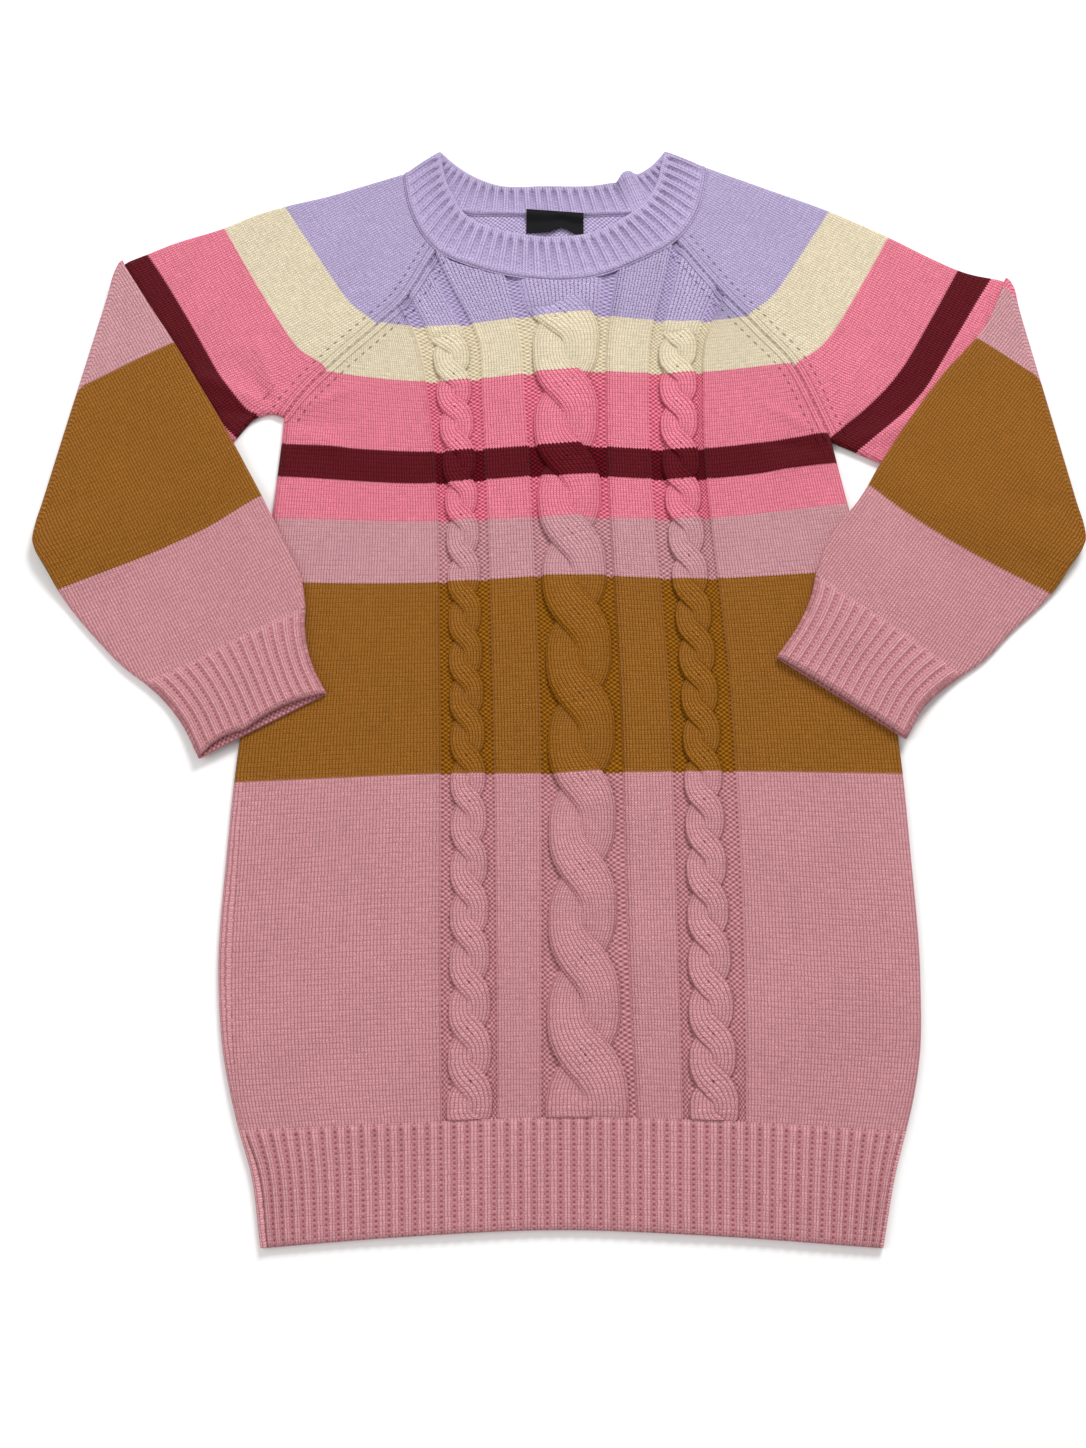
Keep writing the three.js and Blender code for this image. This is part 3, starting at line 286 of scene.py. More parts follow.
def seam_line(parts):
    """One fine line through the smooth parts of a seam."""
    pieces = []
    for part in parts:
        part = np.asarray(part, float)
        x = np.linspace(part[0, 0], part[-1, 0], 30)
        pieces.append(np.stack([x, hermite(part[:, 0], part[:, 1], x)], axis=1))
    return np.vstack([pieces[0]] + [piece[1:] for piece in pieces[1:]])


def to_raglan(x, y, *raglans):
    """Distance from the nearest of some raglan seams, and the place along it."""
    found = [to_line(x, y, seam_line([raglan])) for raglan in raglans]
    beside, run = found[0]
    for gap, place in found[1:]:
        run = np.where(gap < beside, place, run)
        beside = np.minimum(beside, gap)
    return beside, run


FRONT_SEAM = seam_line([FRONT_RAGLAN_LEFT, FRONT_NECK, FRONT_RAGLAN_RIGHT])
BACK_SEAM = seam_line([BACK_RAGLAN_LEFT, BACK_NECK, BACK_RAGLAN_RIGHT])


def top_level(edge, count, seam, inset):
    """Highest level of each column under a seam."""
    low = np.full(count, -150.0)
    high = np.full(count, 330.0)
    for _ in range(40):
        middle = (low + high) / 2
        x, y = on_course(edge, middle)
        under = y < np.interp(x, seam[:, 0], seam[:, 1]) - inset
        low = np.where(under, middle, low)
        high = np.where(under, high, middle)
    return low


def linear(colour):
    out = []
    for c in colour:
        c = c / 255
        out.append(c / 12.92 if c <= 0.04045 else ((c + 0.055) / 1.055) ** 2.4)
    return (*out, 1.0)


class Cloth:
    """Gathers points and faces of one piece, in millimetres, with their places in the cloth."""

    def __init__(self):
        self.points, self.cloth, self.marks, self.faces = [], [], [], []
        self.count = 0

    # shade is painted shade that darkens the colour; it travels in the marks with seam and run
    def add(self, x, y, z, across, along, purl=0.0, seam=90.0, run=0.0, shade=0.0):
        """Adds a grid of points and returns their numbers in the same grid."""
        x, y, z, across, along, purl, seam, run, shade = np.broadcast_arrays(
            x, y, z, across, along, purl, seam, run, shade)
        self.points.append(np.stack([x.ravel(), y.ravel(), z.ravel()], axis=1))
        self.cloth.append(np.stack([across.ravel(), along.ravel(), purl.ravel()], axis=1))
        self.marks.append(np.stack([seam.ravel(), run.ravel(), shade.ravel()], axis=1))
        ids = np.arange(self.count, self.count + x.size).reshape(x.shape)
        self.count += x.size
        return ids

    def grid(self, ids, flip=False):
        """Faces between the rows of a grid."""
        a, b, c, d = ids[:-1, :-1], ids[1:, :-1], ids[1:, 1:], ids[:-1, 1:]
        quads = np.stack([a, b, c, d] if not flip else [a, d, c, b], axis=-1).reshape(-1, 4)
        self.faces.append((quads, True))

    def polygon(self, ids):
        self.faces.append((np.asarray(ids).reshape(1, -1), False))

    def strip(self, a, b, flip=False):
        self.grid(np.stack([a, b]), flip)

    def close_sheet(self, upper, lower):
        """Both faces of a sheet and the four strips round it."""
        self.grid(upper, flip=True)
        self.grid(lower)
        self.strip(upper[:, 0], lower[:, 0])
        self.strip(lower[:, -1], upper[:, -1])
        self.strip(lower[0], upper[0])
        self.strip(upper[-1], lower[-1])

    def close_tube(self, outer, inner, flip):
        """Both faces of a tube, whose rows run round it, and its two end rings."""
        outer, inner = np.hstack([outer, outer[:, :1]]), np.hstack([inner, inner[:, :1]])
        self.grid(outer, flip=flip)
        self.grid(inner, flip=not flip)
        self.strip(inner[0], outer[0], flip=flip)
        self.strip(outer[-1], inner[-1], flip=flip)

    def close_under(self, ids, flip):
        """The plain inside of a front piece, as one face under its border."""
        border = np.concatenate([ids[:, 0], ids[-1, 1:], ids[-2::-1, -1], ids[0, -2:0:-1]])
        x, y = np.concatenate(self.points)[border, :2].T
        inside = np.minimum(x, body_right(y) - BEND + INNER_BEND)
        under = self.add(inside, y, LAYER - WALL, x, y, 1.0)
        self.strip(np.append(border, border[0]), np.append(under, under[0]), flip=flip)
        self.faces[-1] = (self.faces[-1][0], False)
        self.polygon(under if flip else under[::-1])

    def build(self, name, material, body="root"):
        mesh = bpy.data.meshes.new(name)
        points = np.concatenate(self.points) * MM
        loops = np.concatenate([faces.ravel() for faces, _ in self.faces])
        sizes = np.concatenate([np.full(len(faces), faces.shape[1]) for faces, _ in self.faces])
        smooth_flags = np.concatenate([np.full(len(faces), flag) for faces, flag in self.faces])
        mesh.vertices.add(len(points))
        mesh.vertices.foreach_set("co", points.astype(np.float32).ravel())
        mesh.loops.add(len(loops))
        mesh.loops.foreach_set("vertex_index", loops.astype(np.int32))
        mesh.polygons.add(len(sizes))
        starts = np.concatenate([[0], np.cumsum(sizes)[:-1]])
        mesh.polygons.foreach_set("loop_start", starts.astype(np.int32))
        mesh.polygons.foreach_set("use_smooth", smooth_flags)
        mesh.update(calc_edges=True)
        for label, rows in (("cloth", self.cloth), ("marks", self.marks)):
            layer = mesh.attributes.new(label, "FLOAT_VECTOR", "POINT")
            layer.data.foreach_set("vector", np.concatenate(rows).astype(np.float32).ravel())
        mesh.validate()
        mesh.set_sharp_from_angle(angle=math.radians(68))
        piece = bpy.data.objects.new(name, mesh)
        bpy.context.collection.objects.link(piece)
        mesh.materials.append(material)
        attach(piece, body)
        return piece


class Nodes:
    """Short names for building a material's nodes."""

    def __init__(self, tree):
        self.tree = tree
        self.place = 0

    def node(self, kind, **settings):
        node = self.tree.nodes.new(kind)
        node.location = (self.place * 40 % 2000, -(self.place // 50) * 300)
        self.place += 1
        for key, value in settings.items():
            setattr(node, key, value)
        return node

    def math(self, operation, *values):
        node = self.node("ShaderNodeMath", operation=operation)
        for socket, value in zip(node.inputs, values):
            if isinstance(value, (int, float)):
                socket.default_value = value
            else:
                self.tree.links.new(value, socket)
        return node.outputs[0]

    def add(self, a, b):
        return self.math("ADD", a, b)

    def sub(self, a, b):
        return self.math("SUBTRACT", a, b)

    def mul(self, a, b):
        return self.math("MULTIPLY", a, b)

    def div(self, a, b):
        return self.math("DIVIDE", a, b)

    def noise(self, place, scale, detail):
        """Unevenness from 0 to 1, by a place's vector."""
        node = self.node("ShaderNodeTexNoise")
        node.inputs["Scale"].default_value = scale
        node.inputs["Detail"].default_value = detail
        self.link(place, node.inputs["Vector"])
        return node.outputs["Fac"]

    def link(self, a, b):
        self.tree.links.new(a, b)


def knit_height(n, across, along, purl):
    """Height of the stitches from 0 to 1."""
    column = n.math("FRACT", n.div(across, WALE))
    leg = n.mul(n.math("ABSOLUTE", n.sub(column, 0.5)), 2.0)
    course = n.sub(n.div(along, COURSE), n.mul(leg, 0.7))
    within = n.math("FRACT", course)
    between = n.sub(1.0, n.math("POWER", leg, 2.5))
    middle = n.math("POWER", n.sub(1.0, leg), 5.0)
    legs = n.mul(between, n.sub(1.0, n.mul(middle, 0.3)))
    loops = n.math("SINE", n.mul(within, math.pi))
    pairs = n.math("SINE", n.add(n.mul(along, math.pi / COURSE), n.mul(leg, 1.2)))
    plain = n.mul(legs, n.add(0.3, n.mul(loops, 0.7)))
    plain = n.mul(plain, n.add(0.99, n.mul(pairs, 0.13)))

    sideways = n.math("COSINE", n.mul(across, math.pi / WALE))
    lengthwise = n.math("SINE", n.mul(along, math.pi / COURSE))
    back = n.add(0.45, n.mul(n.mul(sideways, lengthwise), 0.55))
    difference = n.sub(back, plain)
    height = n.add(plain, n.mul(difference, purl))
    return height


def knit_material(name, stripes, colours, band=(0.9, 4.62), pull=1.0):
    """Knitted wool in cross stripes. stripes are the levels between the colours.

    Between the two distances of band from a seam the columns run along the seam, and pull is how
    closely their stitches follow each other.
    """
    material = bpy.data.materials.new(name)
    material.use_nodes = True
    tree = material.node_tree
    tree.nodes.clear()
    n = Nodes(tree)
    cloth = n.node("ShaderNodeAttribute", attribute_name="cloth")
    marks = n.node("ShaderNodeAttribute", attribute_name="marks")
    cloth_axes = n.node("ShaderNodeSeparateXYZ")
    mark_axes = n.node("ShaderNodeSeparateXYZ")
    n.link(cloth.outputs["Vector"], cloth_axes.inputs[0])
    n.link(marks.outputs["Vector"], mark_axes.inputs[0])
    across, along, purl = cloth_axes.outputs
    seam, run, shade = mark_axes.outputs

    # Hand-knit unevenness, and the raised columns along a seam
    drift = n.sub(n.noise(cloth.outputs["Vector"], 0.3, 2), 0.5)
    inside = n.mul(n.math("GREATER_THAN", seam, band[0]), n.math("LESS_THAN", seam, band[1]))
    beside = n.sub(seam, band[0])
    column_place = n.add(across, n.mul(drift, 1.3))
    course_place = n.add(along, n.mul(drift, 1.6))
    column_place = n.add(column_place, n.mul(n.sub(beside, column_place), inside))
    along_seam = n.sub(n.mul(run, pull), course_place)
    course_place = n.add(course_place, n.mul(along_seam, inside))
    height = knit_height(n, column_place, course_place, n.mul(purl, n.sub(1.0, inside)))
    edge = n.math("MINIMUM", beside, n.sub(band[1], seam))
    raised = n.math("MAXIMUM", n.math("MINIMUM", n.mul(edge, 1.4), 1.0), 0.0)
    groove = n.math("MAXIMUM", n.sub(1.0, n.math("ABSOLUTE", n.mul(n.add(edge, 0.45), 1.5))), 0.0)

    # Stripes, by whole courses
    teeth = n.mul(n.math("ABSOLUTE", n.sub(n.math("FRACT", n.div(across, WALE)), 0.5)), 2.0)
    level = n.sub(along, n.mul(teeth, 1.1))
    span = (min(stripes) - 40, max(stripes) + 40) if stripes else (0, 1)
    share = n.div(n.sub(level, span[0]), span[1] - span[0])
    ramp = n.node("ShaderNodeValToRGB")
    ramp.color_ramp.interpolation = "CONSTANT"
    elements = ramp.color_ramp.elements
    elements.remove(elements[1])
    elements[0].position = 0
    elements[0].color = linear(colours[0])
    for stop, colour in zip(stripes, colours[1:]):
        element = elements.new((stop - span[0]) / (span[1] - span[0]))
        element.color = linear(colour)
    n.link(share, ramp.inputs[0])

    # Small openings of the shaping, in a row beside the seam, where the colour is darkened with painted shade
    step = n.sub(n.math("FRACT", n.div(run, 6.5)), 0.5)
    slant = n.mul(n.sub(seam, 9.5), 0.6)
    lengthwise = n.div(n.add(n.mul(step, 6.5), slant), 1.9)
    sideways = n.div(n.sub(seam, 9.5), 0.75)
    reach = n.add(n.mul(lengthwise, lengthwise), n.mul(sideways, sideways))
    opening = n.sub(1.0, n.math("MINIMUM", reach, 1.0))

    # Colour: yarn mottle, painted shade between the stitches, lightened on light yarns with painted bounce
    # light, and painted shade where the shade attribute asks for it
    geometry = n.node("ShaderNodeTexCoord")
    mottle = n.noise(geometry.outputs["Object"], 900, 3)
    broad = n.noise(geometry.outputs["Object"], 28, 4)
    light = n.node("ShaderNodeRGBToBW")
    n.link(ramp.outputs["Color"], light.inputs[0])
    # Painted shade between the stitches, by the stitch height
    gap_shade = n.add(0.33, n.mul(height, 1.2))
    # Painted bounce light: light yarns keep less of the painted shade between their stitches
    painted_bounce_light = n.mul(n.sub(1.0, gap_shade), n.mul(light.outputs[0], 0.75))
    gap_shade = n.add(gap_shade, painted_bounce_light)
    fine = n.add(0.82, n.mul(mottle, 0.36))
    wide = n.add(0.93, n.mul(broad, 0.14))
    courses = n.node("ShaderNodeCombineXYZ")
    n.link(n.mul(across, 0.14), courses.inputs[0])
    n.link(n.mul(along, 0.65), courses.inputs[1])
    tension = n.noise(courses.outputs[0], 1, 4)
    wide = n.mul(wide, n.add(0.73, n.mul(tension, 0.54)))
    value = n.mul(n.mul(gap_shade, fine), wide)
    # Painted shade in the shaping openings and in the grooves beside the raised seam columns
    value = n.mul(value, n.sub(1.0, n.mul(opening, 0.7 if stripes else 0.0)))
    value = n.mul(value, n.sub(1.0, n.mul(groove, 0.25 if stripes else 0.0)))
    # Painted shade from the shade attribute: purl troughs, rib troughs, neckband slots, creases, strand sides
    # and the inside of the cuffs
    value = n.mul(value, n.sub(1.0, shade))
    tint = n.node("ShaderNodeHueSaturation")
    n.link(ramp.outputs["Color"], tint.inputs["Color"])
    n.link(value, tint.inputs["Value"])
    # Painted shade is also more saturated: saturation rises with the shade attribute and low in the stitches
    depth = n.sub(n.add(1.1, n.mul(shade, 0.4)), n.mul(height, 0.2))
    n.link(depth, tint.inputs["Saturation"])

    # Relief: stitches and fibres
    fibre = n.noise(geometry.outputs["Object"], 2600, 2)
    relief = n.add(height, n.mul(fibre, 0.25))
    sunk = n.mul(n.add(opening, groove), 1.0 if stripes else 0.0)
    relief = n.add(relief, n.sub(n.mul(raised, 0.8), sunk))
    bumps = n.node("ShaderNodeBump")
    bumps.inputs["Strength"].default_value = 0.75
    bumps.inputs["Distance"].default_value = 0.0008
    n.link(relief, bumps.inputs["Height"])

    shader = n.node("ShaderNodeBsdfPrincipled")
    shader.inputs["Roughness"].default_value = 0.92
    shader.inputs["Specular IOR Level"].default_value = 0.05
    shader.inputs["Sheen Weight"].default_value = 0.04
    shader.inputs["Sheen Roughness"].default_value = 0.55
    n.link(tint.outputs["Color"], shader.inputs["Base Color"])
    n.link(bumps.outputs["Normal"], shader.inputs["Normal"])
    output = n.node("ShaderNodeOutputMaterial")
    n.link(shader.outputs[0], output.inputs["Surface"])
    return material


BODY_STRIPES = [-92, 37, 78, 108, 130, 184, 228]
BODY_COLOURS = [DUSTY, MUSTARD, MAUVE, PINK, BURGUNDY, PINK, CREAM, LILAC]
SLEEVE_COLOURS = [LILAC, CREAM, PINK, BURGUNDY, PINK, MAUVE, MUSTARD, DUSTY]
body_knit = knit_material("body_knit", BODY_STRIPES, BODY_COLOURS)
sleeve_knit = {side: knit_material(f"sleeve_knit_{side}", SLEEVES[side]["stripes"], SLEEVE_COLOURS)
               for side in SLEEVES}
# The rib yarns are painted lighter than the same yarns in the body, a painted highlight on the rib crests
# that offsets the painted shade in their troughs
dusty_rib = knit_material("dusty_rib", [], [(210, 149, 155)])
lilac_rib = knit_material("lilac_rib", [], [(188, 173, 211)], band=(0.3, 2.3), pull=0.6)


def waviness(x, y, size=0.35):
    """Slow unevenness of laid cloth."""
    wave = np.sin(x / 31 + 0.7) * np.cos(y / 43 - 0.4) + 0.6 * np.sin(x / 17 - y / 23 + 1.9)
    return size * wave


def creases(x, y, table):
    """Soft valleys, or ridges where the depth is negative, along straight lines with tapered ends."""
    total = np.zeros(np.shape(x))
    for ax, ay, bx, by, width, depth in table:
        length = math.hypot(bx - ax, by - ay)
        ux, uy = (bx - ax) / length, (by - ay) / length
        along = (x - ax) * ux + (y - ay) * uy
        off = (x - ax) * -uy + (y - ay) * ux
        inside = smooth((along + 8) / 16) * smooth((length + 8 - along) / 16)
        total -= depth * np.exp(-(off / width) ** 2) * inside
    return total


def spaced(length, coarse, fine, at_start=0.0, at_end=0.0):
    """Offsets from 0 up to a length, finer near the ends where asked."""
    marks = [0.0]
    while marks[-1] < length:
        here = marks[-1]
        near = here < at_start or here > length - at_end - coarse
        marks.append(here + (fine if near else coarse))
    marks = np.array(marks[:-1])
    return marks * (length / (marks[-1] + (fine if at_end else coarse)))


EDGES_AT = front_edges(np.array([-44.0]))[:, 0]
FLAT_ZONES = (0, 4, 8, 12)


def front_stations():
    """Column counts and cloth widths of the front's grid lines."""
    count, width = [], []
    for zone in range(13):
        length = EDGES_AT[zone + 1] - EDGES_AT[zone]
        if zone in FLAT_ZONES:
            offsets = spaced(length, 3.0, 0.45, 0 if zone == 0 else 4.6, 0 if zone == 12 else 4.6)
        elif zone in (2, 6, 10):
            offsets = np.linspace(0, length, 11)[:-1]
        else:
            offsets = spaced(length, 0.5, 0.5)
        count.append(zone + offsets / length)
        width.append(EDGES_AT[zone] + offsets)
    return np.append(np.concatenate(count), 13.0), np.append(np.concatenate(width), EDGES_AT[13])


def trough_depth(width):
    """How far each column lies inside a cable's sunken band, and the relief of its borders."""
    into = np.full(width.shape, -99.0)
    for low, high in ((1, 4), (5, 8), (9, 12)):
        into = np.maximum(into, np.minimum(width - EDGES_AT[low], EDGES_AT[high] - width))
    relief = 0.75 * bump(into, -0.95, 0.55) + 0.6 * bump(into, -2.8, 0.55)
    return into, relief - 1.6 * smooth((into + 0.2) / 1.4)


FRONT_CREASES = [
    (-166, 158, -132, 172, 4, -1.8), (-168, 148, -134, 148, 4, 1.3), (-168, 140, -138, 128, 5, -1.8),
    (166, 140, 134, 158, 4, -1.8), (166, 130, 132, 132, 4, 1.3), (166, 122, 136, 112, 5, -1.8),
    (-165, -150, -120, -172, 12, 0.8), (178, -190, 130, -200, 13, 0.8),
    (-140, -255, -90, -268, 10, 0.6), (160, -262, 110, -270, 10, 0.6),
]


def make_front():
    cloth = Cloth()
    count, width = front_stations()
    rows = 235
    edge = front_column(count)
    top = top_level(edge, count.size, FRONT_SEAM, 0.05)
    share = np.linspace(0, 1, rows)
    level = LOWEST - SEAM + (top[:, None] - LOWEST + SEAM) * share[None, :]
    column = front_column(np.repeat(count, rows))
    x, y = on_course(column, level)
    into, relief = trough_depth(width)
    gap, _ = to_line(x, y, FRONT_SEAM)
    beside, run = to_raglan(x, y, FRONT_RAGLAN_LEFT, FRONT_RAGLAN_RIGHT)
    fan, mound = np.zeros(level.shape), 0.25
    for cable in CABLES.values():
        zone, turn, start = cable["zone"], cable["turn"], cable["start"]
        within = np.minimum(width - EDGES_AT[zone], EDGES_AT[zone + 1] - width)[:, None]
        begun = smooth((level - start + turn * 0.1) / (turn * 0.3))
        fan = np.maximum(fan, smooth((within + 0.3) / 1.4) * begun)
        in_zone = (width > EDGES_AT[zone]) & (width < EDGES_AT[zone + 1])
        mound = mound + 0.9 * fan * smooth((start + turn * 0.75 - level) / (turn * 0.5)) * in_zone[:, None]
    relief = relief[:, None] * (1 - fan) + mound * fan
    z = LAYER + relief + waviness(x, y) * smooth(gap / 12)
    z += creases(x, y, FRONT_CREASES)
    z = np.maximum(z, LAYER - WALL + 0.25)
    z -= 0.5 * np.exp(-(gap / 1.4) ** 2)
    z -= 0.3 * np.exp(-((width[:, None] - EDGES_AT[0]) / 1.0) ** 2)
    pulled = smooth((level - 222) / 14) * (1 - smooth((into + 0.1) / 0.6)[:, None] * (1 - fan))
    z += 0.5 * pulled * np.sin(width / WALE * math.pi)[:, None] ** 2
    # Below zero, purl deepens the stitch relief of the yoke, which also deepens the painted shade between the
    # stitches
    purl = smooth((into + 0.1) / 0.6)[:, None] * (1 - fan) - 0.3 * pulled
    # Painted shade in the purl troughs beside the cables
    shade = 0.15 * smooth((into + 0.1) / 1.2)[:, None] * (1 - fan)
    ids = cloth.add(x, y, z, width[:, None], level, purl, beside, run, shade)

    # The right fold
    arcs = np.linspace(1, 0.05, 7)[1:] * math.pi / 2
    inset = BEND * (1 - np.cos(arcs))
    last = x[-1], y[-1], level[-1]
    fold_x = last[0] + BEND - inset[:, None]
    fold_z = MID + BEND * np.sin(arcs)[:, None] - 0.9 * np.exp(-(gap[-1] / 1.7) ** 2) * np.sin(arcs)[:, None]
    fold = cloth.add(fold_x, last[1][None, :], fold_z, width[-1] + BEND * (math.pi / 2 - arcs)[:, None],
                     last[2][None, :])
    ids = np.vstack([ids, fold])
    cloth.grid(ids)
    cloth.close_under(ids, flip=False)
    return cloth.build("front_knit", body_knit)


def above_hem(x, y):
    """Keeps what runs into the hem above its seam, pressed together there."""
    seam = course_height(x.ravel(), np.full(x.size, float(LOWEST))).reshape(x.shape) - SEAM + 0.05
    return seam + np.where(y - seam > 1, y - seam, np.exp(np.minimum(y - seam, 1) - 1))


def make_strand(name, cable, which):
    """One strand of a rope cable, as a closed swept band that rises and dives as it twists."""
    cloth = Cloth()
    zone, turn, start = cable["zone"], cable["turn"], cable["start"]
    levels = np.arange(LOWEST - 6, 300, turn / 38 if turn > 40 else turn / 24)
    phase = math.pi * (start + turn / 2 - levels) / turn
    phase = np.where(phase < 0, 0, phase) + which * math.pi
    cosine = np.cos(phase)
    side = -cosine * (1 + 0.3 * (1 - cosine ** 2))
    x, y = on_course(front_column(zone + 0.5 + 0.25 * side), np.maximum(levels, LOWEST))
    y = y - np.clip(LOWEST - levels, 0, None)
    room = np.interp(x, FRONT_SEAM[:, 0], FRONT_SEAM[:, 1]) - y
    keep = room > 1.2
    levels, phase, side, x, y = (a[keep] for a in (levels, phase, side, x, y))
    left, _ = on_course(front_column(np.full(levels.size, float(zone))), np.maximum(levels, LOWEST))
    right, _ = on_course(front_column(np.full(levels.size, zone + 1.0)), np.maximum(levels, LOWEST))
    rising = np.sin(phase)
    half = (right - left) * (0.264 + 0.07 * np.clip(rising, 0, 1) ** 2 - 0.06 * np.clip(-rising, 0, 1) ** 2)
    dx, dy = np.gradient(x), np.gradient(y)
    length = np.hypot(dx, dy)
    nx, ny = dy / length, -dx / length
    flat = smooth((start + turn * 0.5 - levels) / (turn * 0.6))
    ends = smooth((levels - LOWEST) / 5)
    crown = cable["crown"] * flat * (0.55 + 0.45 * ends)
    base = LAYER - 0.7 - 1.2 * (1 - flat) + cable["lift"] * np.sin(phase) * flat + waviness(x, y)

    t = np.sin(np.linspace(-1, 1, cable["across"] + 1) * math.pi / 2 * 0.96) / math.sin(math.pi / 2 * 0.96)
    inner_side = np.sign(t)[None, :] == -np.sign(side)[:, None]
    crossing = np.abs(np.sin(phase))[:, None]
    drop = np.where(inner_side, 0.1 + 0.9 * crossing ** 0.9, 1.0)
    over = np.clip(np.sin(phase), 0, 1)[:, None]
    drop = np.where(t[None, :] > 0, drop * (1 - 0.5 * over * crossing), drop)
    profile = (1 - np.abs(t)[None, :] ** 4 * drop) ** 0.55
    outer = np.where(inner_side, crossing, 1.0)
    wales = 0.4 * (bump(np.abs(t), 0.86, 0.06) + 0.8 * bump(np.abs(t), 0.66, 0.06))[None, :] * outer
    top_x = x[:, None] + nx[:, None] * half[:, None] * t[None, :]
    top_y = y[:, None] + ny[:, None] * half[:, None] * t[None, :]
    top_z = base[:, None] + crown[:, None] * profile + wales * flat[:, None]
    low_t = np.array([0.9, 0.3, -0.3, -0.9])
    low_x = x[:, None] + nx[:, None] * half[:, None] * low_t
    low_y = y[:, None] + ny[:, None] * half[:, None] * low_t
    low_z = base[:, None] - 1.0 + 0 * low_t
    cloth_half = (EDGES_AT[zone + 1] - EDGES_AT[zone]) * 0.268
    tilt = 0.85 * (ny * half)[:, None]
    spread = t[None, :] * cloth_half / 4.2
    # The seam value here places the material's openings as slits across the crossing strand, darkened with
    # painted shade
    slits = 9.5 + 5 * np.abs(spread - np.round(spread)) + 6 * (1 - over ** 2)
    slits = slits + 6 * (np.abs(t[None, :]) > 0.75)
    run = levels[:, None] * 2.0 + 3.2 * (np.round(spread) % 2)
    top_y, low_y = above_hem(top_x, top_y), above_hem(low_x, low_y)
    top_level, low_level = (levels[:, None] + tilt * across[None, :] for across in (t, low_t))
    # Painted shade where the strand's top slopes down to its edges
    ids = np.hstack([
        cloth.add(top_x, top_y, top_z, t[None, :] * cloth_half, top_level, seam=slits, run=run,
                  shade=0.2 * (1 - profile) ** 0.7),
        cloth.add(low_x, low_y, low_z, low_t[None, :] * cloth_half, low_level),
    ])
    ids = np.hstack([ids, ids[:, :1]])
    cloth.grid(ids, flip=True)
    cloth.polygon(ids[0, :-1][::-1])
    cloth.polygon(ids[-1, :-1])
    return cloth.build(name, body_knit)


def fold_arc(sign, steps, radius=BEND):
    """Inset from the outline and height round a side fold, from the upper side down when sign is 1."""
    angles = sign * np.linspace(1, -1, steps) * math.pi / 2
    return BEND - radius * np.cos(angles), MID + radius * np.sin(angles)


def back_sections(wrap, under_count):
    """Lines along the back: kind, place and height, from the side seam on top round the left fold
    and under to the right fold."""
    sections = [("wrap", v, LAYER) for v in wrap]
    sections += [("left", a, b) for a, b in zip(*fold_arc(1, 9))]
    sections += [("under", v, 0.0) for v in np.linspace(0, 1, under_count)[1:-1]]
    return sections + [("right", a, b) for a, b in list(zip(*fold_arc(-1, 9)))[:4]]


def back_edge(kind, value):
    """x by height of one of these lines."""
    def edge(y):
        left, right = body_left(y), body_right(y)
        if kind == "wrap":
            outer = side_wrap(y)
            return left + outer + (BEND - outer) * value
        if kind == "left":
            return left + value
        if kind == "under":
            return left + BEND + (right - left - 2 * BEND) * value
        return right - value
    return edge


def back_inside(kind, x, y, z):
    """Place and height inside the back, across its wall."""
    inner = np.clip(x, body_left(y) + BEND - INNER_BEND, body_right(y) - BEND + INNER_BEND)
    if kind == "wrap" or (kind == "left" and z > MID):
        return inner, LAYER - WALL
    return inner, MID if kind == "left" and abs(z - MID) < 0.01 else WALL


def make_back():
    cloth = Cloth()
    rows = 200
    share = np.linspace(0, 1, rows)
    ids = []
    inner_ids = []
    across = 0.0
    previous = None
    for kind, value, z in back_sections((0.0, 0.35, 0.7), 90):
        edge = back_edge(kind, value)
        on_top = kind == "wrap" or (kind == "left" and z > MID)
        seam = FRONT_SEAM if on_top else BACK_SEAM
        top = top_level(edge, 1, seam, 0.05)[0]
        level = LOWEST - SEAM + (top - LOWEST + SEAM) * share
        x, y = on_course(edge, level)
        height = np.full(rows, z)
        if kind == "wrap":
            height = height - 0.3 * bump(value, 0, 0.3)
        here = (x[100], z)
        if previous is not None:
            across += math.hypot(here[0] - previous[0], here[1] - previous[1])
        previous = here
        beside, run = to_raglan(x, y, BACK_RAGLAN_LEFT, BACK_RAGLAN_RIGHT)
        ids.append(cloth.add(x, y, height, across, level, seam=beside, run=run))
        inner, inner_z = back_inside(kind, x, y, z)
        inner_ids.append(cloth.add(inner, y, inner_z, across, level, 1.0))
    ids, inner_ids = np.stack(ids), np.stack(inner_ids)
    cloth.close_sheet(ids, inner_ids)
    return cloth.build("back_knit", body_knit)


def rib_relief(at):
    """Rise of a rib by its place from 0 to 1: two raised columns between purl troughs."""
    at = at % 1.0
    crest = smooth((at - 0.1) / 0.12) * smooth((0.9 - at) / 0.12)
    return crest * (1 - 0.3 * bump(at, 0.5, 0.07))


def rib_purl(at):
    at = at % 1.0
    return 0.7 - 0.7 * smooth((at - 0.12) / 0.08) * smooth((0.88 - at) / 0.08)


def rib_trough_shade(purl, away):
    """Painted shade of purl troughs: dark where each begins under its first loop, away mm from the seam."""
    return purl * smooth((away - 1.0) / 1.5) * (0.36 + 0.18 * np.exp(-((away - 3.2) / 2.0) ** 2))


RIB_RISE = 1.6
HEM_TOP = -290.0


def rib_shares(count, per_rib=10):
    return (np.arange(count * per_rib) + 0.5) / (count * per_rib)


def hem_height(x, t):
    seam = course_height(x, np.full(x.shape, float(LOWEST))) - SEAM
    return seam + (hermite(HEM_END[0], HEM_END[1], x) - seam) * t


def hem_place(at, t):
    """Place of a line across the hem, where at gives its x by height."""
    x = at(np.full(t.shape, -330.0))
    for _ in range(3):
        y = hem_height(x, t)
        x = at(y)
    return x, hem_height(x, t)


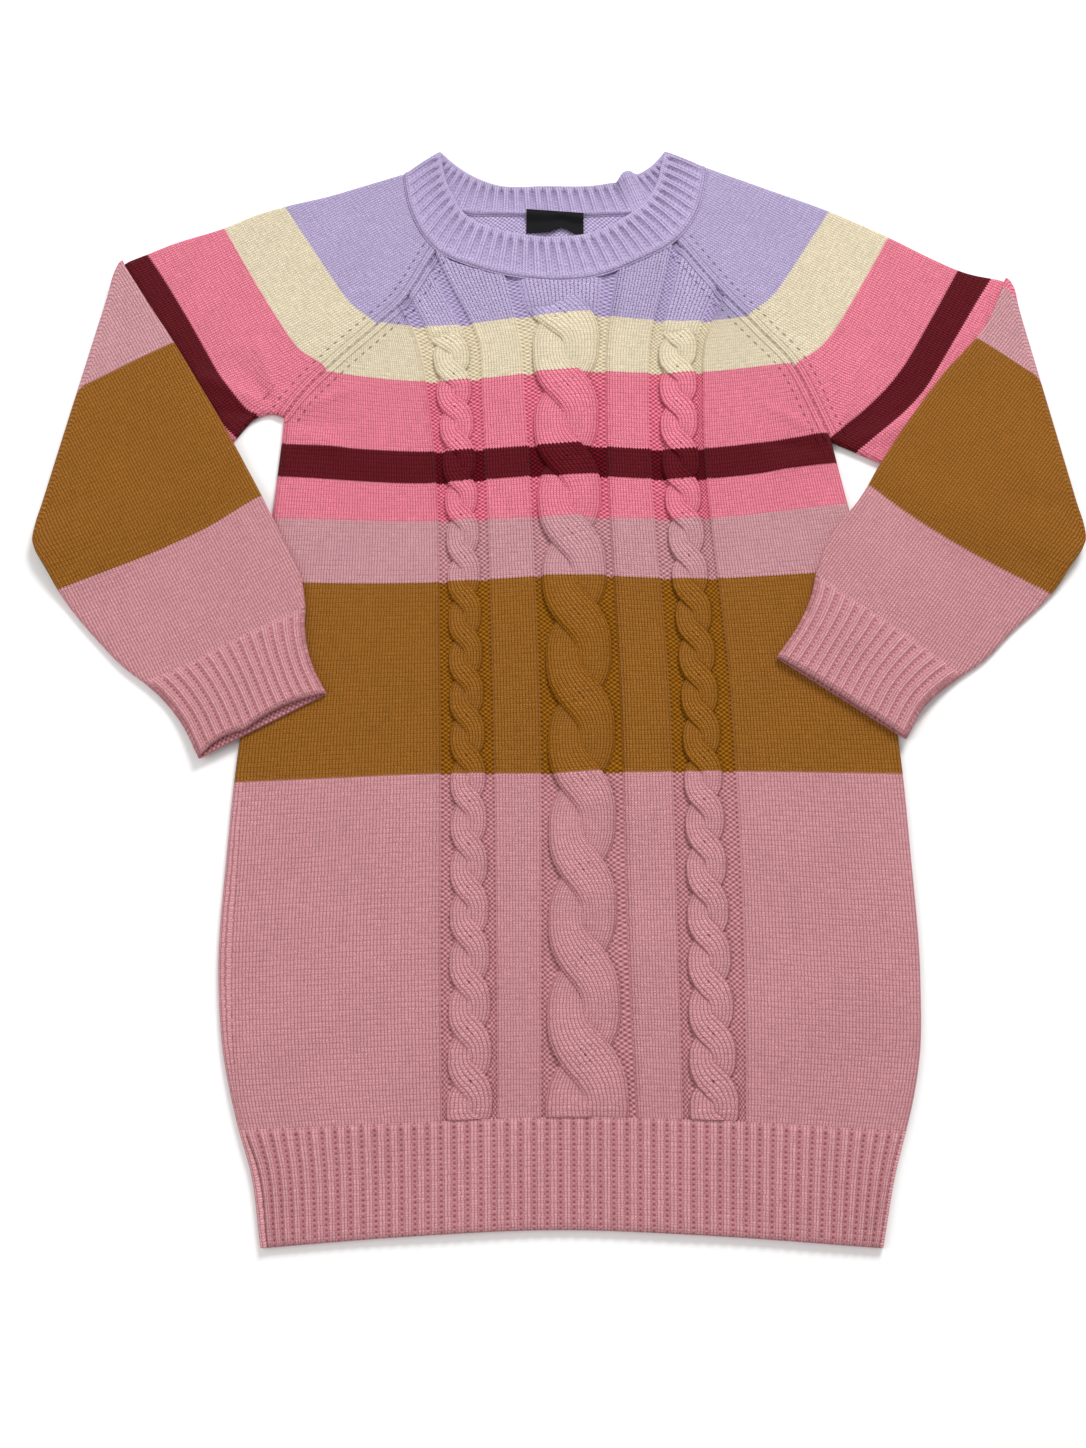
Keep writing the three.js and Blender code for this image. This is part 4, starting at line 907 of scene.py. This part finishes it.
def make_hem_front():
    cloth = Cloth()
    ribs = 50
    rows = 30
    share = np.concatenate([[0], rib_shares(ribs), [1]])
    t = np.linspace(0, 1, rows)
    lift = smooth(t / 0.07) * (1 - 0.5 * smooth((t - 0.93) / 0.07))
    x_all, y_all, z_all, across, purl = [], [], [], [], []
    hem_low, hem_high = body_left(HEM_TOP) + side_wrap(HEM_TOP), body_right(HEM_TOP) - BEND
    for s in share:
        def at(y, s=s):
            low, high = body_left(y) + side_wrap(y), body_right(y) - BEND
            narrowing = 1 + 0.00035 * (y - HEM_TOP)
            start = hem_low + (hem_high - hem_low) * s
            return (start * narrowing + (low - hem_low * narrowing) * np.exp(-(start - hem_low) / 30)
                    + (high - hem_high * narrowing) * np.exp((start - hem_high) / 30))
        x, y = hem_place(at, t)
        x_all.append(x)
        y_all.append(y)
        rise = rib_relief(np.array(s * ribs)) if 0 < s < 1 else 0.0
        z_all.append(LAYER + (RIB_RISE * rise - 0.5) * lift - 0.9 * bump(t, 1, 0.012))
        across.append(s * ribs * 4 * WALE)
        purl.append(float(rib_purl(np.array(s * ribs))))
    x, y, z = (np.stack(a) for a in (x_all, y_all, z_all))
    z += waviness(x, y, 0.25)
    purl = np.array(purl)[:, None]
    along = -t[None, :] * 64
    # Painted shade in the rib troughs
    ids = cloth.add(x, y, z, np.array(across)[:, None], along, purl, shade=rib_trough_shade(purl, -along))
    arcs = np.linspace(1, 0.05, 6)[1:] * math.pi / 2
    fold_x = x[-1] + BEND * np.cos(arcs)[:, None]
    fold_z = MID + BEND * np.sin(arcs)[:, None]
    fold = cloth.add(fold_x, y[-1][None, :], fold_z, across[-1] + 1.0, along)
    ids = np.vstack([ids, fold])
    cloth.grid(ids, flip=True)
    cloth.close_under(ids, flip=True)
    return cloth.build("hem_front_knit", dusty_rib)


def make_hem_back():
    cloth = Cloth()
    rows = 26
    t = np.linspace(0, 1, rows)
    ids, inner_ids = [], []
    across = 0.0
    previous = None
    for kind, value, z in back_sections((0.0, 0.5), 110):
        x, y = hem_place(back_edge(kind, value), t)
        here = (x[0], z)
        if previous is not None:
            across += math.hypot(here[0] - previous[0], here[1] - previous[1])
        previous = here
        ids.append(cloth.add(x, y, z, across, -t * 64))
        inner, inner_z = back_inside(kind, x, y, z)
        inner_ids.append(cloth.add(inner, y, inner_z, across, -t * 64, 1.0))
    ids, inner_ids = np.stack(ids), np.stack(inner_ids)
    cloth.close_sheet(inner_ids, ids)
    return cloth.build("hem_back_knit", dusty_rib)


def outside_by(outline, x, y):
    """Distance of points to the outside of a closed outline, 0 inside it."""
    outline = np.asarray(outline, float)
    gap, _ = to_line(x, y, np.vstack([outline, outline[:1]]))
    inside = np.zeros(np.shape(x), bool)
    for (ax, ay), (bx, by) in zip(outline, np.roll(outline, -1, axis=0)):
        if ay == by:
            continue
        crosses = (ay > y) != (by > y)
        inside ^= crosses & (x < (bx - ax) * (y - ay) / (by - ay) + ax)
    return np.where(inside, 0.0, gap)


BODY_OUTLINE = [(row[1], row[0]) for row in SIDES] + [(row[2], row[0]) for row in SIDES[::-1]]


class SleeveShape:
    """The flat map of one sleeve: upper arm on the surface, fold, forearm on top of it."""

    def __init__(self, side):
        data = SLEEVES[side]
        self.side = side
        self.data = data
        neck_rows = NECKBAND[3::-1] if side == "left" else NECKBAND[9:13]
        neck = path([(row[0], row[1]) for row in neck_rows])(np.linspace(0, 1, 20))
        back_rows = [NECKBAND[18], NECKBAND[19], NECKBAND[0]] if side == "left" else \
            [NECKBAND[14], NECKBAND[13], NECKBAND[12]]
        back_neck = path([(row[0], row[1]) for row in back_rows])(np.linspace(0, 1, 12))
        raglan = seam_line([FRONT_RAGLAN_LEFT]) if side == "left" else seam_line([FRONT_RAGLAN_RIGHT])[::-1]
        back_raglan = seam_line([BACK_RAGLAN_LEFT]) if side == "left" else \
            seam_line([BACK_RAGLAN_RIGHT])[::-1]
        self.raglan, self.back_raglan = raglan, back_raglan
        self.neck = neck
        self.seam = {"top": np.vstack([raglan, neck[1:]]),
                     "bottom": np.vstack([back_raglan, back_neck[1:]])}
        under, over = path(data["under"]), path(data["over"])
        self.fold = straight([data["under"][-1], data["over"][-1]])
        self.upper = {layer: patch(under, over, straight(self.seam[layer]), self.fold)
                      for layer in ("top", "bottom")}
        cuff = straight([data["outer"][-1], data["inner"][-1]])
        self.forearm = patch(path(data["outer"]), path(data["inner"]), self.fold, cuff)
        start, stop = np.array(data["under"][-1]), np.array(data["over"][-1])
        along = (stop - start) / np.hypot(*(stop - start))
        self.out = np.array([-along[1], along[0]]) if side == "left" else np.array([along[1], -along[0]])
        self.arm_outline = data["over"] + data["under"][::-1]
        corner = np.array(data["over"][-1])
        self.offset = float(corner @ data["axis"] - corner @ data["fore_axis"])

    def rounded(self, x, y, radius=2.5):
        """Rounds off the two outer corners of the fold in the plane."""
        under, over = np.array(self.data["under"][-1]), np.array(self.data["over"][-1])
        corners = (under, over, self.data["outer"][1]), (over, under, self.data["over"][-2])
        for corner, other, beside in corners:
            outward = -sum((p - corner) / np.hypot(*(p - corner)) for p in (other, np.array(beside)))
            outward = outward / np.hypot(*outward)
            past = np.clip((x - corner[0]) * outward[0] + (y - corner[1]) * outward[1] + radius, 0, None)
            pull = past - radius * (1 - np.exp(-past / radius))
            push = 2.6 * np.exp(-((x - corner[0]) ** 2 + (y - corner[1]) ** 2) / 15 ** 2) - pull
            x, y = x + outward[0] * push, y + outward[1] * push
        return x + np.sign(x) * 2.8 * smooth((np.abs(x) - 250) / 75), y

    def rest(self, x, y):
        """Height at which the forearm lies: on the layers under it, and down beside them."""
        away = np.minimum(outside_by(self.arm_outline, x, y), outside_by(BODY_OUTLINE, x, y))
        return STACKED * (1 - smooth((away - SETTLE_FROM) / SETTLE))

    def upper_cloth(self, x, y, u, v, gap, run):
        """Place in the cloth on the upper arm, brought to meet the forearm's at the fold."""
        data = self.data
        axis = data["axis"]
        sign = 1 if self.side == "left" else -1
        along = x * axis[0] + y * axis[1]
        across = sign * (x * axis[1] - y * axis[0]) * -1
        if self.side == "right":
            middle = x * 0.53 + y * 0.85
            along = along + 11 * np.clip((285 - middle) / 75, 0, 1.2) ** 2 * np.clip(along / 85, 0, 1)
        along = along - 4.5 * np.sin(np.pi * np.clip(u, 0, 1)) * np.clip(along / 60 + 0.5, 0, 1) + 1.5
        near = smooth(run / 60) if self.side == "right" else 1.0
        along = along + 6.5 * np.exp(-(gap / 17) ** 2) * near
        edge = self.fold(np.ravel(u)).reshape(*np.shape(u), 2)
        fold_along, _ = self.fore_cloth(edge[..., 0], edge[..., 1], u)
        same = edge[..., 0] * axis[0] + edge[..., 1] * axis[1]
        turn = smooth((v - 0.55) / 0.45)
        along = along + (fold_along - same) * turn
        return along, across

    def fore_cloth(self, x, y, u):
        data = self.data
        fore = np.array(data["fore_axis"])
        sign = 1 if self.side == "left" else -1
        along = x * fore[0] + y * fore[1] + self.offset
        along = along - 4.0 * np.sin(np.pi * np.clip(u, 0, 1))
        centre = np.array(data["over"][-1])
        start = sign * (centre[0] * data["axis"][1] - centre[1] * data["axis"][0]) * -1
        across = start + sign * ((x - centre[0]) * -fore[1] + (y - centre[1]) * fore[0])
        return along, across


SLEEVE_CREASES = {
    "left": [(-180, 164, -196, 206, 4, -2.0), (-184, 162, -212, 196, 4, 1.4), (-190, 160, -232, 182, 5, -2.4),
             (-198, 154, -236, 158, 4, 1.4), (-176, 172, -172, 206, 4, 1.2)],
    "right": [(182, 146, 196, 196, 4, -2.0), (186, 140, 220, 178, 5, 1.4), (196, 134, 246, 160, 5, -2.6),
              (212, 126, 262, 138, 5, 1.5), (176, 152, 174, 196, 4, 1.2)],
}
FOREARM_CREASES = {
    "left": [(-318, 80, -286, 92, 7, 1.0), (-306, 40, -280, 62, 6, 0.9), (-262, -8, -246, 22, 7, 0.8),
             (-190, 60, -214, 34, 9, 0.7)],
    "right": [(316, 82, 284, 92, 7, 1.0), (300, 38, 276, 60, 6, 0.9), (256, -4, 240, 26, 7, 0.8),
              (186, 80, 214, 50, 9, 0.7)],
}
SLEEVE_WIDTH = 130.0


def make_sleeve(side):
    cloth = Cloth()
    shape = SleeveShape(side)
    flip = side == "right"

    # Shares across and heights round the flattened tube: lower rim, top, upper rim, bottom
    def ring(radius, top_count, bottom_count):
        angles = np.linspace(-1, 1, 9) * math.pi / 2
        inset = (BEND - radius * np.cos(angles)) / SLEEVE_WIDTH
        z = MID + radius * np.sin(angles)
        rim = inset[-1]
        top = np.linspace(rim, 1 - rim, top_count + 2)[1:-1]
        bottom = np.linspace(1 - rim, rim, bottom_count + 2)[1:-1]
        share = np.concatenate([inset, top, 1 - inset[::-1], bottom])
        height = np.concatenate([z, np.full(top_count, MID + radius), z[::-1],
                                 np.full(bottom_count, MID - radius)])
        return share, height

    def rings(radius, upper_steps, fold_steps, fore_steps, outside):
        share, z = ring(radius, 62, 62)
        is_top = z >= MID
        face = (z - MID) / max(radius, 1e-6)
        rows = []
        u = np.broadcast_to(share, (len(upper_steps), share.size))
        v = np.broadcast_to(upper_steps[:, None], u.shape)
        flat = np.where(is_top[None, :, None], shape.upper["top"](u, v), shape.upper["bottom"](u, v))
        x, y = flat[..., 0], flat[..., 1]
        gap, run = to_line(x, y, shape.raglan)
        along, across = shape.upper_cloth(x, y, u, v, gap, run)
        back_gap, back_run = to_line(x, y, shape.back_raglan)
        neck_gap, _ = to_line(x, y, shape.neck)
        height = np.broadcast_to(z, u.shape).copy()
        seam = np.full(u.shape, 90.0)
        shade = np.zeros(u.shape)
        if outside:
            up = np.clip(face, 0, 1)[None, :]
            both = np.minimum(gap, neck_gap)
            height = height - up * 0.5 * np.exp(-(both / 1.4) ** 2)
            bead = smooth((gap - 0.4) / 0.8) * smooth((5.6 - gap) / 1.2)
            height = height + up * 0.5 * bead * smooth(neck_gap / 6)
            height = height + up * creases(x, y, SLEEVE_CREASES[side])
            height = height + up * waviness(x, y, 0.3) * smooth(both / 14)
            seam = np.where(is_top[None, :], gap, back_gap)
            run = np.where(is_top[None, :], run, back_run)
        x, y = shape.rounded(x, y)
        rows.append(cloth.add(x, y, height, across, along, 0.0 if outside else 1.0, seam, run, shade))

        axis_z = LAYER + SEAM / 2
        turn = fold_steps[:, None]
        edge = shape.fold(share)
        blunt = np.clip(np.minimum(share, 1 - share) / 0.018, 0, 1)
        reach = (axis_z - z)[None, :] * np.sin(turn * math.pi) * np.sqrt(1 - (1 - blunt) ** 2)
        x = edge[None, :, 0] + shape.out[0] * reach
        y = edge[None, :, 1] + shape.out[1] * reach
        fold_z = axis_z - (axis_z - z)[None, :] * np.cos(turn * math.pi)
        along, across = shape.fore_cloth(edge[None, :, 0], edge[None, :, 1], share[None, :])
        x, y = shape.rounded(x, y)
        rows.append(cloth.add(x, y, fold_z, across + 0 * x, along + 15 * turn, 0.0 if outside else 1.0))

        u = np.broadcast_to(share, (len(fore_steps), share.size))
        v = np.broadcast_to(fore_steps[:, None], u.shape)
        flat = shape.forearm(u, v)
        x, y = flat[..., 0], flat[..., 1]
        along, across = shape.fore_cloth(x, y, u)
        height = shape.rest(x, y) + LAYER - z[None, :]
        if outside:
            up = np.clip(-face, 0, 1)[None, :]
            puff = 1.6 * (1 - np.abs(2 * u - 1) ** 3) * smooth(v / 0.2) * smooth((1 - v) / 0.25)
            laid = waviness(x, y, 0.4) + creases(x, y, FOREARM_CREASES[side])
            height = height + up * (puff + laid * smooth((1 - v) / 0.08))
        x, y = shape.rounded(x, y)
        rows.append(cloth.add(x, y, height, across, along + 15, 0.0 if outside else 1.0))
        return np.vstack(rows)

    upper = np.concatenate([np.linspace(0, 0.06, 30), np.linspace(0.06, 1, 92)[1:]])
    fold = np.linspace(0, 1, 14)[1:-1]
    fore = np.linspace(0, 1, 112)
    outer = rings(BEND, upper, fold, fore, True)
    inner = rings(INNER_BEND, np.linspace(0, 1, 16), np.linspace(0, 1, 6)[1:-1], np.linspace(0, 1, 14), False)
    cloth.close_tube(outer, inner, flip)
    return cloth.build(f"sleeve_{side}_knit", sleeve_knit[side])


def make_cuff(side):
    cloth = Cloth()
    shape = SleeveShape(side)
    data = shape.data
    flip = side == "left"
    ribs = 14
    width = 95.0
    inner_edge, outer_edge = path(data["cuff_inner"]), path(data["cuff_outer"])
    seam = straight([data["cuff_outer"][0], data["cuff_inner"][0]])
    end = straight([data["cuff_outer"][-1], data["cuff_inner"][-1]])
    place = patch(outer_edge, inner_edge, seam, end)
    rim = BEND / width

    def rings(radius, steps, outside):
        angles = np.linspace(-1, 1, 9) * math.pi / 2
        inset = (BEND - radius * np.cos(angles)) / width
        z = MID + radius * np.sin(angles)
        flat = rib_shares(ribs)
        top = rim + (1 - 2 * rim) * flat
        share = np.concatenate([inset, top, 1 - inset[::-1], top[::-1]])
        level = np.full(top.size, radius)
        height = np.concatenate([z, MID + level, z[::-1], MID - level])
        at = np.concatenate([np.zeros(9), flat * ribs, np.zeros(9), flat[::-1] * ribs])
        rise = np.where(at > 0, rib_relief(at), 0.0)
        purl = np.where(at > 0, rib_purl(at), 0.0)
        u = np.broadcast_to(share, (len(steps), share.size))
        v = np.broadcast_to(steps[:, None], u.shape)
        up = (height > MID)[None, :]
        lobes = np.abs(np.sin(np.pi * np.interp(u, [0, 0.38, 1], [0, 1, 2])))
        bow = v ** 3 * (0.45 * np.sin(np.pi * np.clip(u, 0, 1)) + 0.55 * lobes)
        pulled = np.where(up, data["open"] / 60 * bow, 0.0)
        curve = 0.012 * np.sin(np.pi * v)
        flat_xy = place(np.clip(u + curve * np.sin(np.pi * u), 0, 1), v - pulled)
        x, y = flat_xy[..., 0], flat_xy[..., 1]
        ends = smooth(v / 0.08) * (1 - 0.45 * smooth((v - 0.95) / 0.05))
        face = np.where(up, 1.0, -0.35)
        z_all = shape.rest(x, y) + height[None, :]
        if outside:
            z_all = z_all + face * (RIB_RISE * rise[None, :] - 0.5 * (at > 0)) * ends
            z_all = z_all - up * 0.9 * np.exp(-((1 - v) * 60 / 0.7) ** 2)
            z_all = z_all + up * 0.7 * bump((1 - v) * 60, 2.6, 1.3)
            z_all = z_all + up * 0.25 * data["open"] * bow
            z_all = z_all + up * 0.8 * np.sin(np.pi * np.clip(u, 0, 1)) * smooth(v / 0.5)
        z_all = np.maximum(z_all, 0)
        across = np.concatenate([np.zeros(9), flat * ribs * 4 * WALE, np.zeros(9) + ribs * 4 * WALE,
                                 flat[::-1] * ribs * 4 * WALE])
        # Painted shade: in the rib troughs outside, and all over the inside of the tube
        return cloth.add(x, y, z_all, across[None, :], -v * 60, purl[None, :] if outside else 1.0,
                         shade=0.55 * rib_trough_shade(purl[None, :], v * 60) if outside else 0.3)

    steps = np.concatenate([[0.0, 0.02], np.linspace(0.05, 0.95, 22), [0.975, 0.99, 1.0]])
    outer = rings(BEND, steps, True)
    inner = rings(INNER_BEND, np.array([0.0, 0.4, 0.8, 1.0]), False)
    cloth.close_tube(outer, inner, flip)
    return cloth.build(f"cuff_{side}_knit", dusty_rib)


def make_neckband():
    cloth = Cloth()
    rows = NECKBAND
    seam_front = path([(r[0], r[1]) for r in rows[:13]])
    free_front = path([(r[2], r[3]) for r in rows[:13]])
    back_rows = rows[12:] + rows[:1]
    seam_back = path([(r[0], r[1]) for r in back_rows])
    free_back = path([(r[2], r[3]) for r in back_rows])
    pinch = 0.25
    turn = 0.012
    counts = np.array([36, 30])  # Ribs in front and behind
    stations = counts * 14
    which = np.repeat([0, 1], stations)
    share = np.concatenate([(np.arange(count) + 0.5) / count for count in stations])
    raised_fold = np.exp(-np.abs((share - pinch) / np.where(share > pinch, 0.026, 0.04)) ** 3) * (which == 1)
    to_end = np.clip(np.minimum(share, 1 - share) / turn, 0, 1)
    up = np.sin(to_end * math.pi / 2) * np.where(which == 0, 1, -1)
    side = np.where(share < 0.5, -1, 1)
    rib = share * counts[which]
    seam = np.where(which[:, None] == 0, seam_front(share), seam_back(share))
    slid = share - 0.038 * np.sin(math.tau * share)
    free = np.where(which[:, None] == 0, free_front(share), free_back(slid))
    free[:, 1] += 3.9 * raised_fold
    direction = free - seam
    direction /= np.hypot(*direction.T)[:, None]
    turned = np.where(which == 0, side, -side)
    outward = np.stack([-direction[:, 1], direction[:, 0]], axis=1) * np.where(turned < 0, 1.0, -1.0)[:, None]
    level_out = np.sqrt(np.clip(1 - up ** 2, 0, 1))
    radius = (LAYER - WALL) / 2
    at = rib % 1.0
    crest = smooth((at - 0.16) / 0.13) * smooth((0.84 - at) / 0.13) * (1 - 0.35 * bump(at, 0.5, 0.055))

    # Round the cloth: its outer face from the seam to the free edge, the edge, and the inner face
    outer_face = np.concatenate([[0, 0.02, 0.04, 0.06], np.linspace(0.09, 0.76, 8),
                                 [0.82, 0.86, 0.9, 0.94, 0.97, 0.985]])
    inner_face = outer_face[::-1]
    across = np.concatenate([outer_face, [1.0], inner_face])
    face = np.concatenate([np.ones(outer_face.size), [0.0], -np.ones(outer_face.size)])
    on_front = (up > 0)[:, None]
    ribbed = np.where(on_front, face[None, :] > 0, face[None, :] < 0)
    middle = np.minimum(at, 1 - at)[:, None]
    slot = (1 - crest[:, None]) * smooth((0.94 - 0.5 * middle - across[None, :]) / 0.05)
    slot = slot * smooth((across[None, :] - 0.07) / 0.06) * (1 - 0.8 * raised_fold[:, None])
    ends = 1 - 0.35 * smooth((across - 0.93) / 0.07)
    add = 1.4 * (ends[None, :] - slot) * np.abs(up)[:, None] * ribbed * smooth(across / 0.06)[None, :]
    overhang = 0.022 * ribbed * (across == 0)[None, :]
    place = seam[:, None, :] + (free - seam)[:, None, :] * (across[None, :] - overhang)[..., None]
    reach = (radius + face[None, :] * WALL / 2) * level_out[:, None] - BEND * level_out[:, None]
    x = place[..., 0] + outward[:, None, 0] * reach
    y = place[..., 1] + outward[:, None, 1] * reach
    z = MID + up[:, None] * (radius + face[None, :] * WALL / 2) + add
    z = z + np.where(on_front & (face[None, :] > 0), 1.0 * np.sin(np.pi * across)[None, :], 0.0)
    chain = 1 + 0.7 * np.sin(share[:, None] * 400 / 3.4 * math.tau + across[None, :] * 60)
    chain = 0.6 * bump(across * 34, 1.5, 1.1)[None, :] * chain * np.where(which == 0, 1, 1.7)[:, None]
    z = z + np.where(ribbed, chain, 0.0) + 20 * overhang
    crease = 1.3 * np.exp(-((share - pinch - 0.036) / 0.008) ** 2) * (which == 1)
    z = np.maximum(z + (3.4 * raised_fold - crease)[:, None] * across[None, :] ** 1.5, 0)
    width = np.where(which == 0, 0, 144) * WALE + rib * 4 * WALE
    # Painted shade in the rib slots, darker toward the free edge, and in the crease beside the raised fold
    shade = slot * (0.1 + 0.24 * smooth((across[None, :] - 0.35) / 0.5))
    shade = shade + 0.4 * crease[:, None] * across[None, :] ** 2
    ids = cloth.add(x, y, z, width[:, None], -across[None, :] * 34, 0.4 * slot, across[None, :] * 34,
                    share[:, None] * 308, shade)
    ids = np.hstack([ids, ids[:, :1]])
    ids = np.vstack([ids, ids[:1]])
    cloth.grid(ids)
    return cloth.build("neckband_knit", lilac_rib)


def label_material():
    """Black woven tape with fine cross ribs."""
    material = bpy.data.materials.new("label_tape")
    material.use_nodes = True
    tree = material.node_tree
    tree.nodes.clear()
    n = Nodes(tree)
    cloth = n.node("ShaderNodeAttribute", attribute_name="cloth")
    axes = n.node("ShaderNodeSeparateXYZ")
    n.link(cloth.outputs["Vector"], axes.inputs[0])
    across, along, _ = axes.outputs
    weft = n.math("SINE", n.mul(along, 2 * math.pi / 0.35))
    warp = n.math("SINE", n.mul(across, 2 * math.pi / 0.5))
    weave = n.mul(weft, warp)
    value = n.add(1.0, n.mul(weave, 0.25))
    tint = n.node("ShaderNodeHueSaturation")
    tint.inputs["Color"].default_value = linear(BLACK)
    n.link(value, tint.inputs["Value"])
    bumps = n.node("ShaderNodeBump")
    bumps.inputs["Strength"].default_value = 0.4
    bumps.inputs["Distance"].default_value = 0.0001
    n.link(weave, bumps.inputs["Height"])
    shader = n.node("ShaderNodeBsdfPrincipled")
    shader.inputs["Roughness"].default_value = 0.65
    shader.inputs["Specular IOR Level"].default_value = 0.12
    n.link(tint.outputs["Color"], shader.inputs["Base Color"])
    n.link(bumps.outputs["Normal"], shader.inputs["Normal"])
    output = n.node("ShaderNodeOutputMaterial")
    n.link(shader.outputs[0], output.inputs["Surface"])
    return material


def make_label():
    cloth = Cloth()
    u = np.linspace(0, 1, 60)[:, None]
    v = np.linspace(0, 1, 24)[None, :]
    wave = LABEL["wave"] * np.sin(np.pi * u) ** 2 * (1 - v)
    wave = wave + 0.5 * np.sin(2.4 * np.pi * u + 0.4) * (1 - v) * u
    x = LABEL["left"] - 1.2 + (LABEL["right"] - LABEL["left"] + 2.4) * u + 0 * v
    arch = 1.4 + 4.4 * np.exp(-(((u - 0.62) / 0.16) ** 2)) - 1.6 * smooth(u)
    y = LABEL["bottom"] + arch * (1 - v) + (LABEL["top"] + 1.2 - LABEL["bottom"]) * v - 3.2 * u * v
    ground = WALL + SEAM + 0.2 + 2.8 * smooth((v - 0.45) / 0.4)
    faces = []
    for raise_by in (LABEL["thick"], 0.0):
        faces.append(cloth.add(x, y, ground + raise_by + wave, u * 36 + 0 * v, v * 14 + 0 * u))
    top, low = faces
    cloth.close_sheet(low, top)
    return cloth.build("label_tape", label_material())


front = make_front()
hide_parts("front_panel")
for cable_name, cable in CABLES.items():
    for which in (0, 1):
        strand = make_strand(f"cable_{cable_name}_{which}", cable, which)
back = make_back()
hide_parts("back_panel")
hem_front = make_hem_front()
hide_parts("hem_rib_front")
hem_back = make_hem_back()
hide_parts("hem_rib_back")
neckband = make_neckband()
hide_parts("neckband")
label = make_label()
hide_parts("neck_label")
sleeves, cuffs = {}, {}
for side in SLEEVES:
    sleeves[side] = make_sleeve(side)
    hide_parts(f"sleeve_{side}")
    cuffs[side] = make_cuff(side)
    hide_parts(f"cuff_{side}")


def plain_material(name, colour, roughness):
    material = bpy.data.materials.new(name)
    material.use_nodes = True
    shader = material.node_tree.nodes["Principled BSDF"]
    shader.inputs["Base Color"].default_value = (*colour, 1)
    shader.inputs["Roughness"].default_value = roughness
    return material


bpy.ops.mesh.primitive_plane_add(size=12, location=(0, 0, -0.0004))
floor = bpy.context.object
floor.name = "floor"
floor.data.materials.append(plain_material("floor_paper", (0.93, 0.93, 0.93), 0.8))


def area_light(name, location, target, size, power, colour=(1, 1, 1)):
    data = bpy.data.lights.new(name, "AREA")
    data.shape = "DISK"
    data.size = size
    data.energy = power
    data.color = colour
    light = bpy.data.objects.new(name, data)
    light.location = location
    light.rotation_euler = (Vector(target) - Vector(location)).to_track_quat("-Z", "Y").to_euler()
    bpy.context.collection.objects.link(light)


area_light("key_light", (0.75, 1.75, 1.8), (0, 0, 0), 1.0, 50)
area_light("fill_light", (-1.6, -0.4, 2.0), (0, 0, 0), 1.8, 18)

world = bpy.data.worlds.new("studio")
world.use_nodes = True
world.node_tree.nodes["Background"].inputs["Color"].default_value = (1.0, 0.99, 0.98, 1)
world.node_tree.nodes["Background"].inputs["Strength"].default_value = 0.56
bpy.context.scene.world = world
bpy.context.scene.view_settings.view_transform = "Standard"

camera_data = bpy.data.cameras.new("camera")
camera_data.sensor_fit = "VERTICAL"
camera_data.sensor_height = 36
camera_data.sensor_width = 27
camera_data.lens = 45
camera = bpy.data.objects.new("camera", camera_data)
camera.location = (-0.010, -0.456, 1.0104)
camera.rotation_euler = (math.radians(21.5), 0, 0)
bpy.context.collection.objects.link(camera)
bpy.context.scene.camera = camera
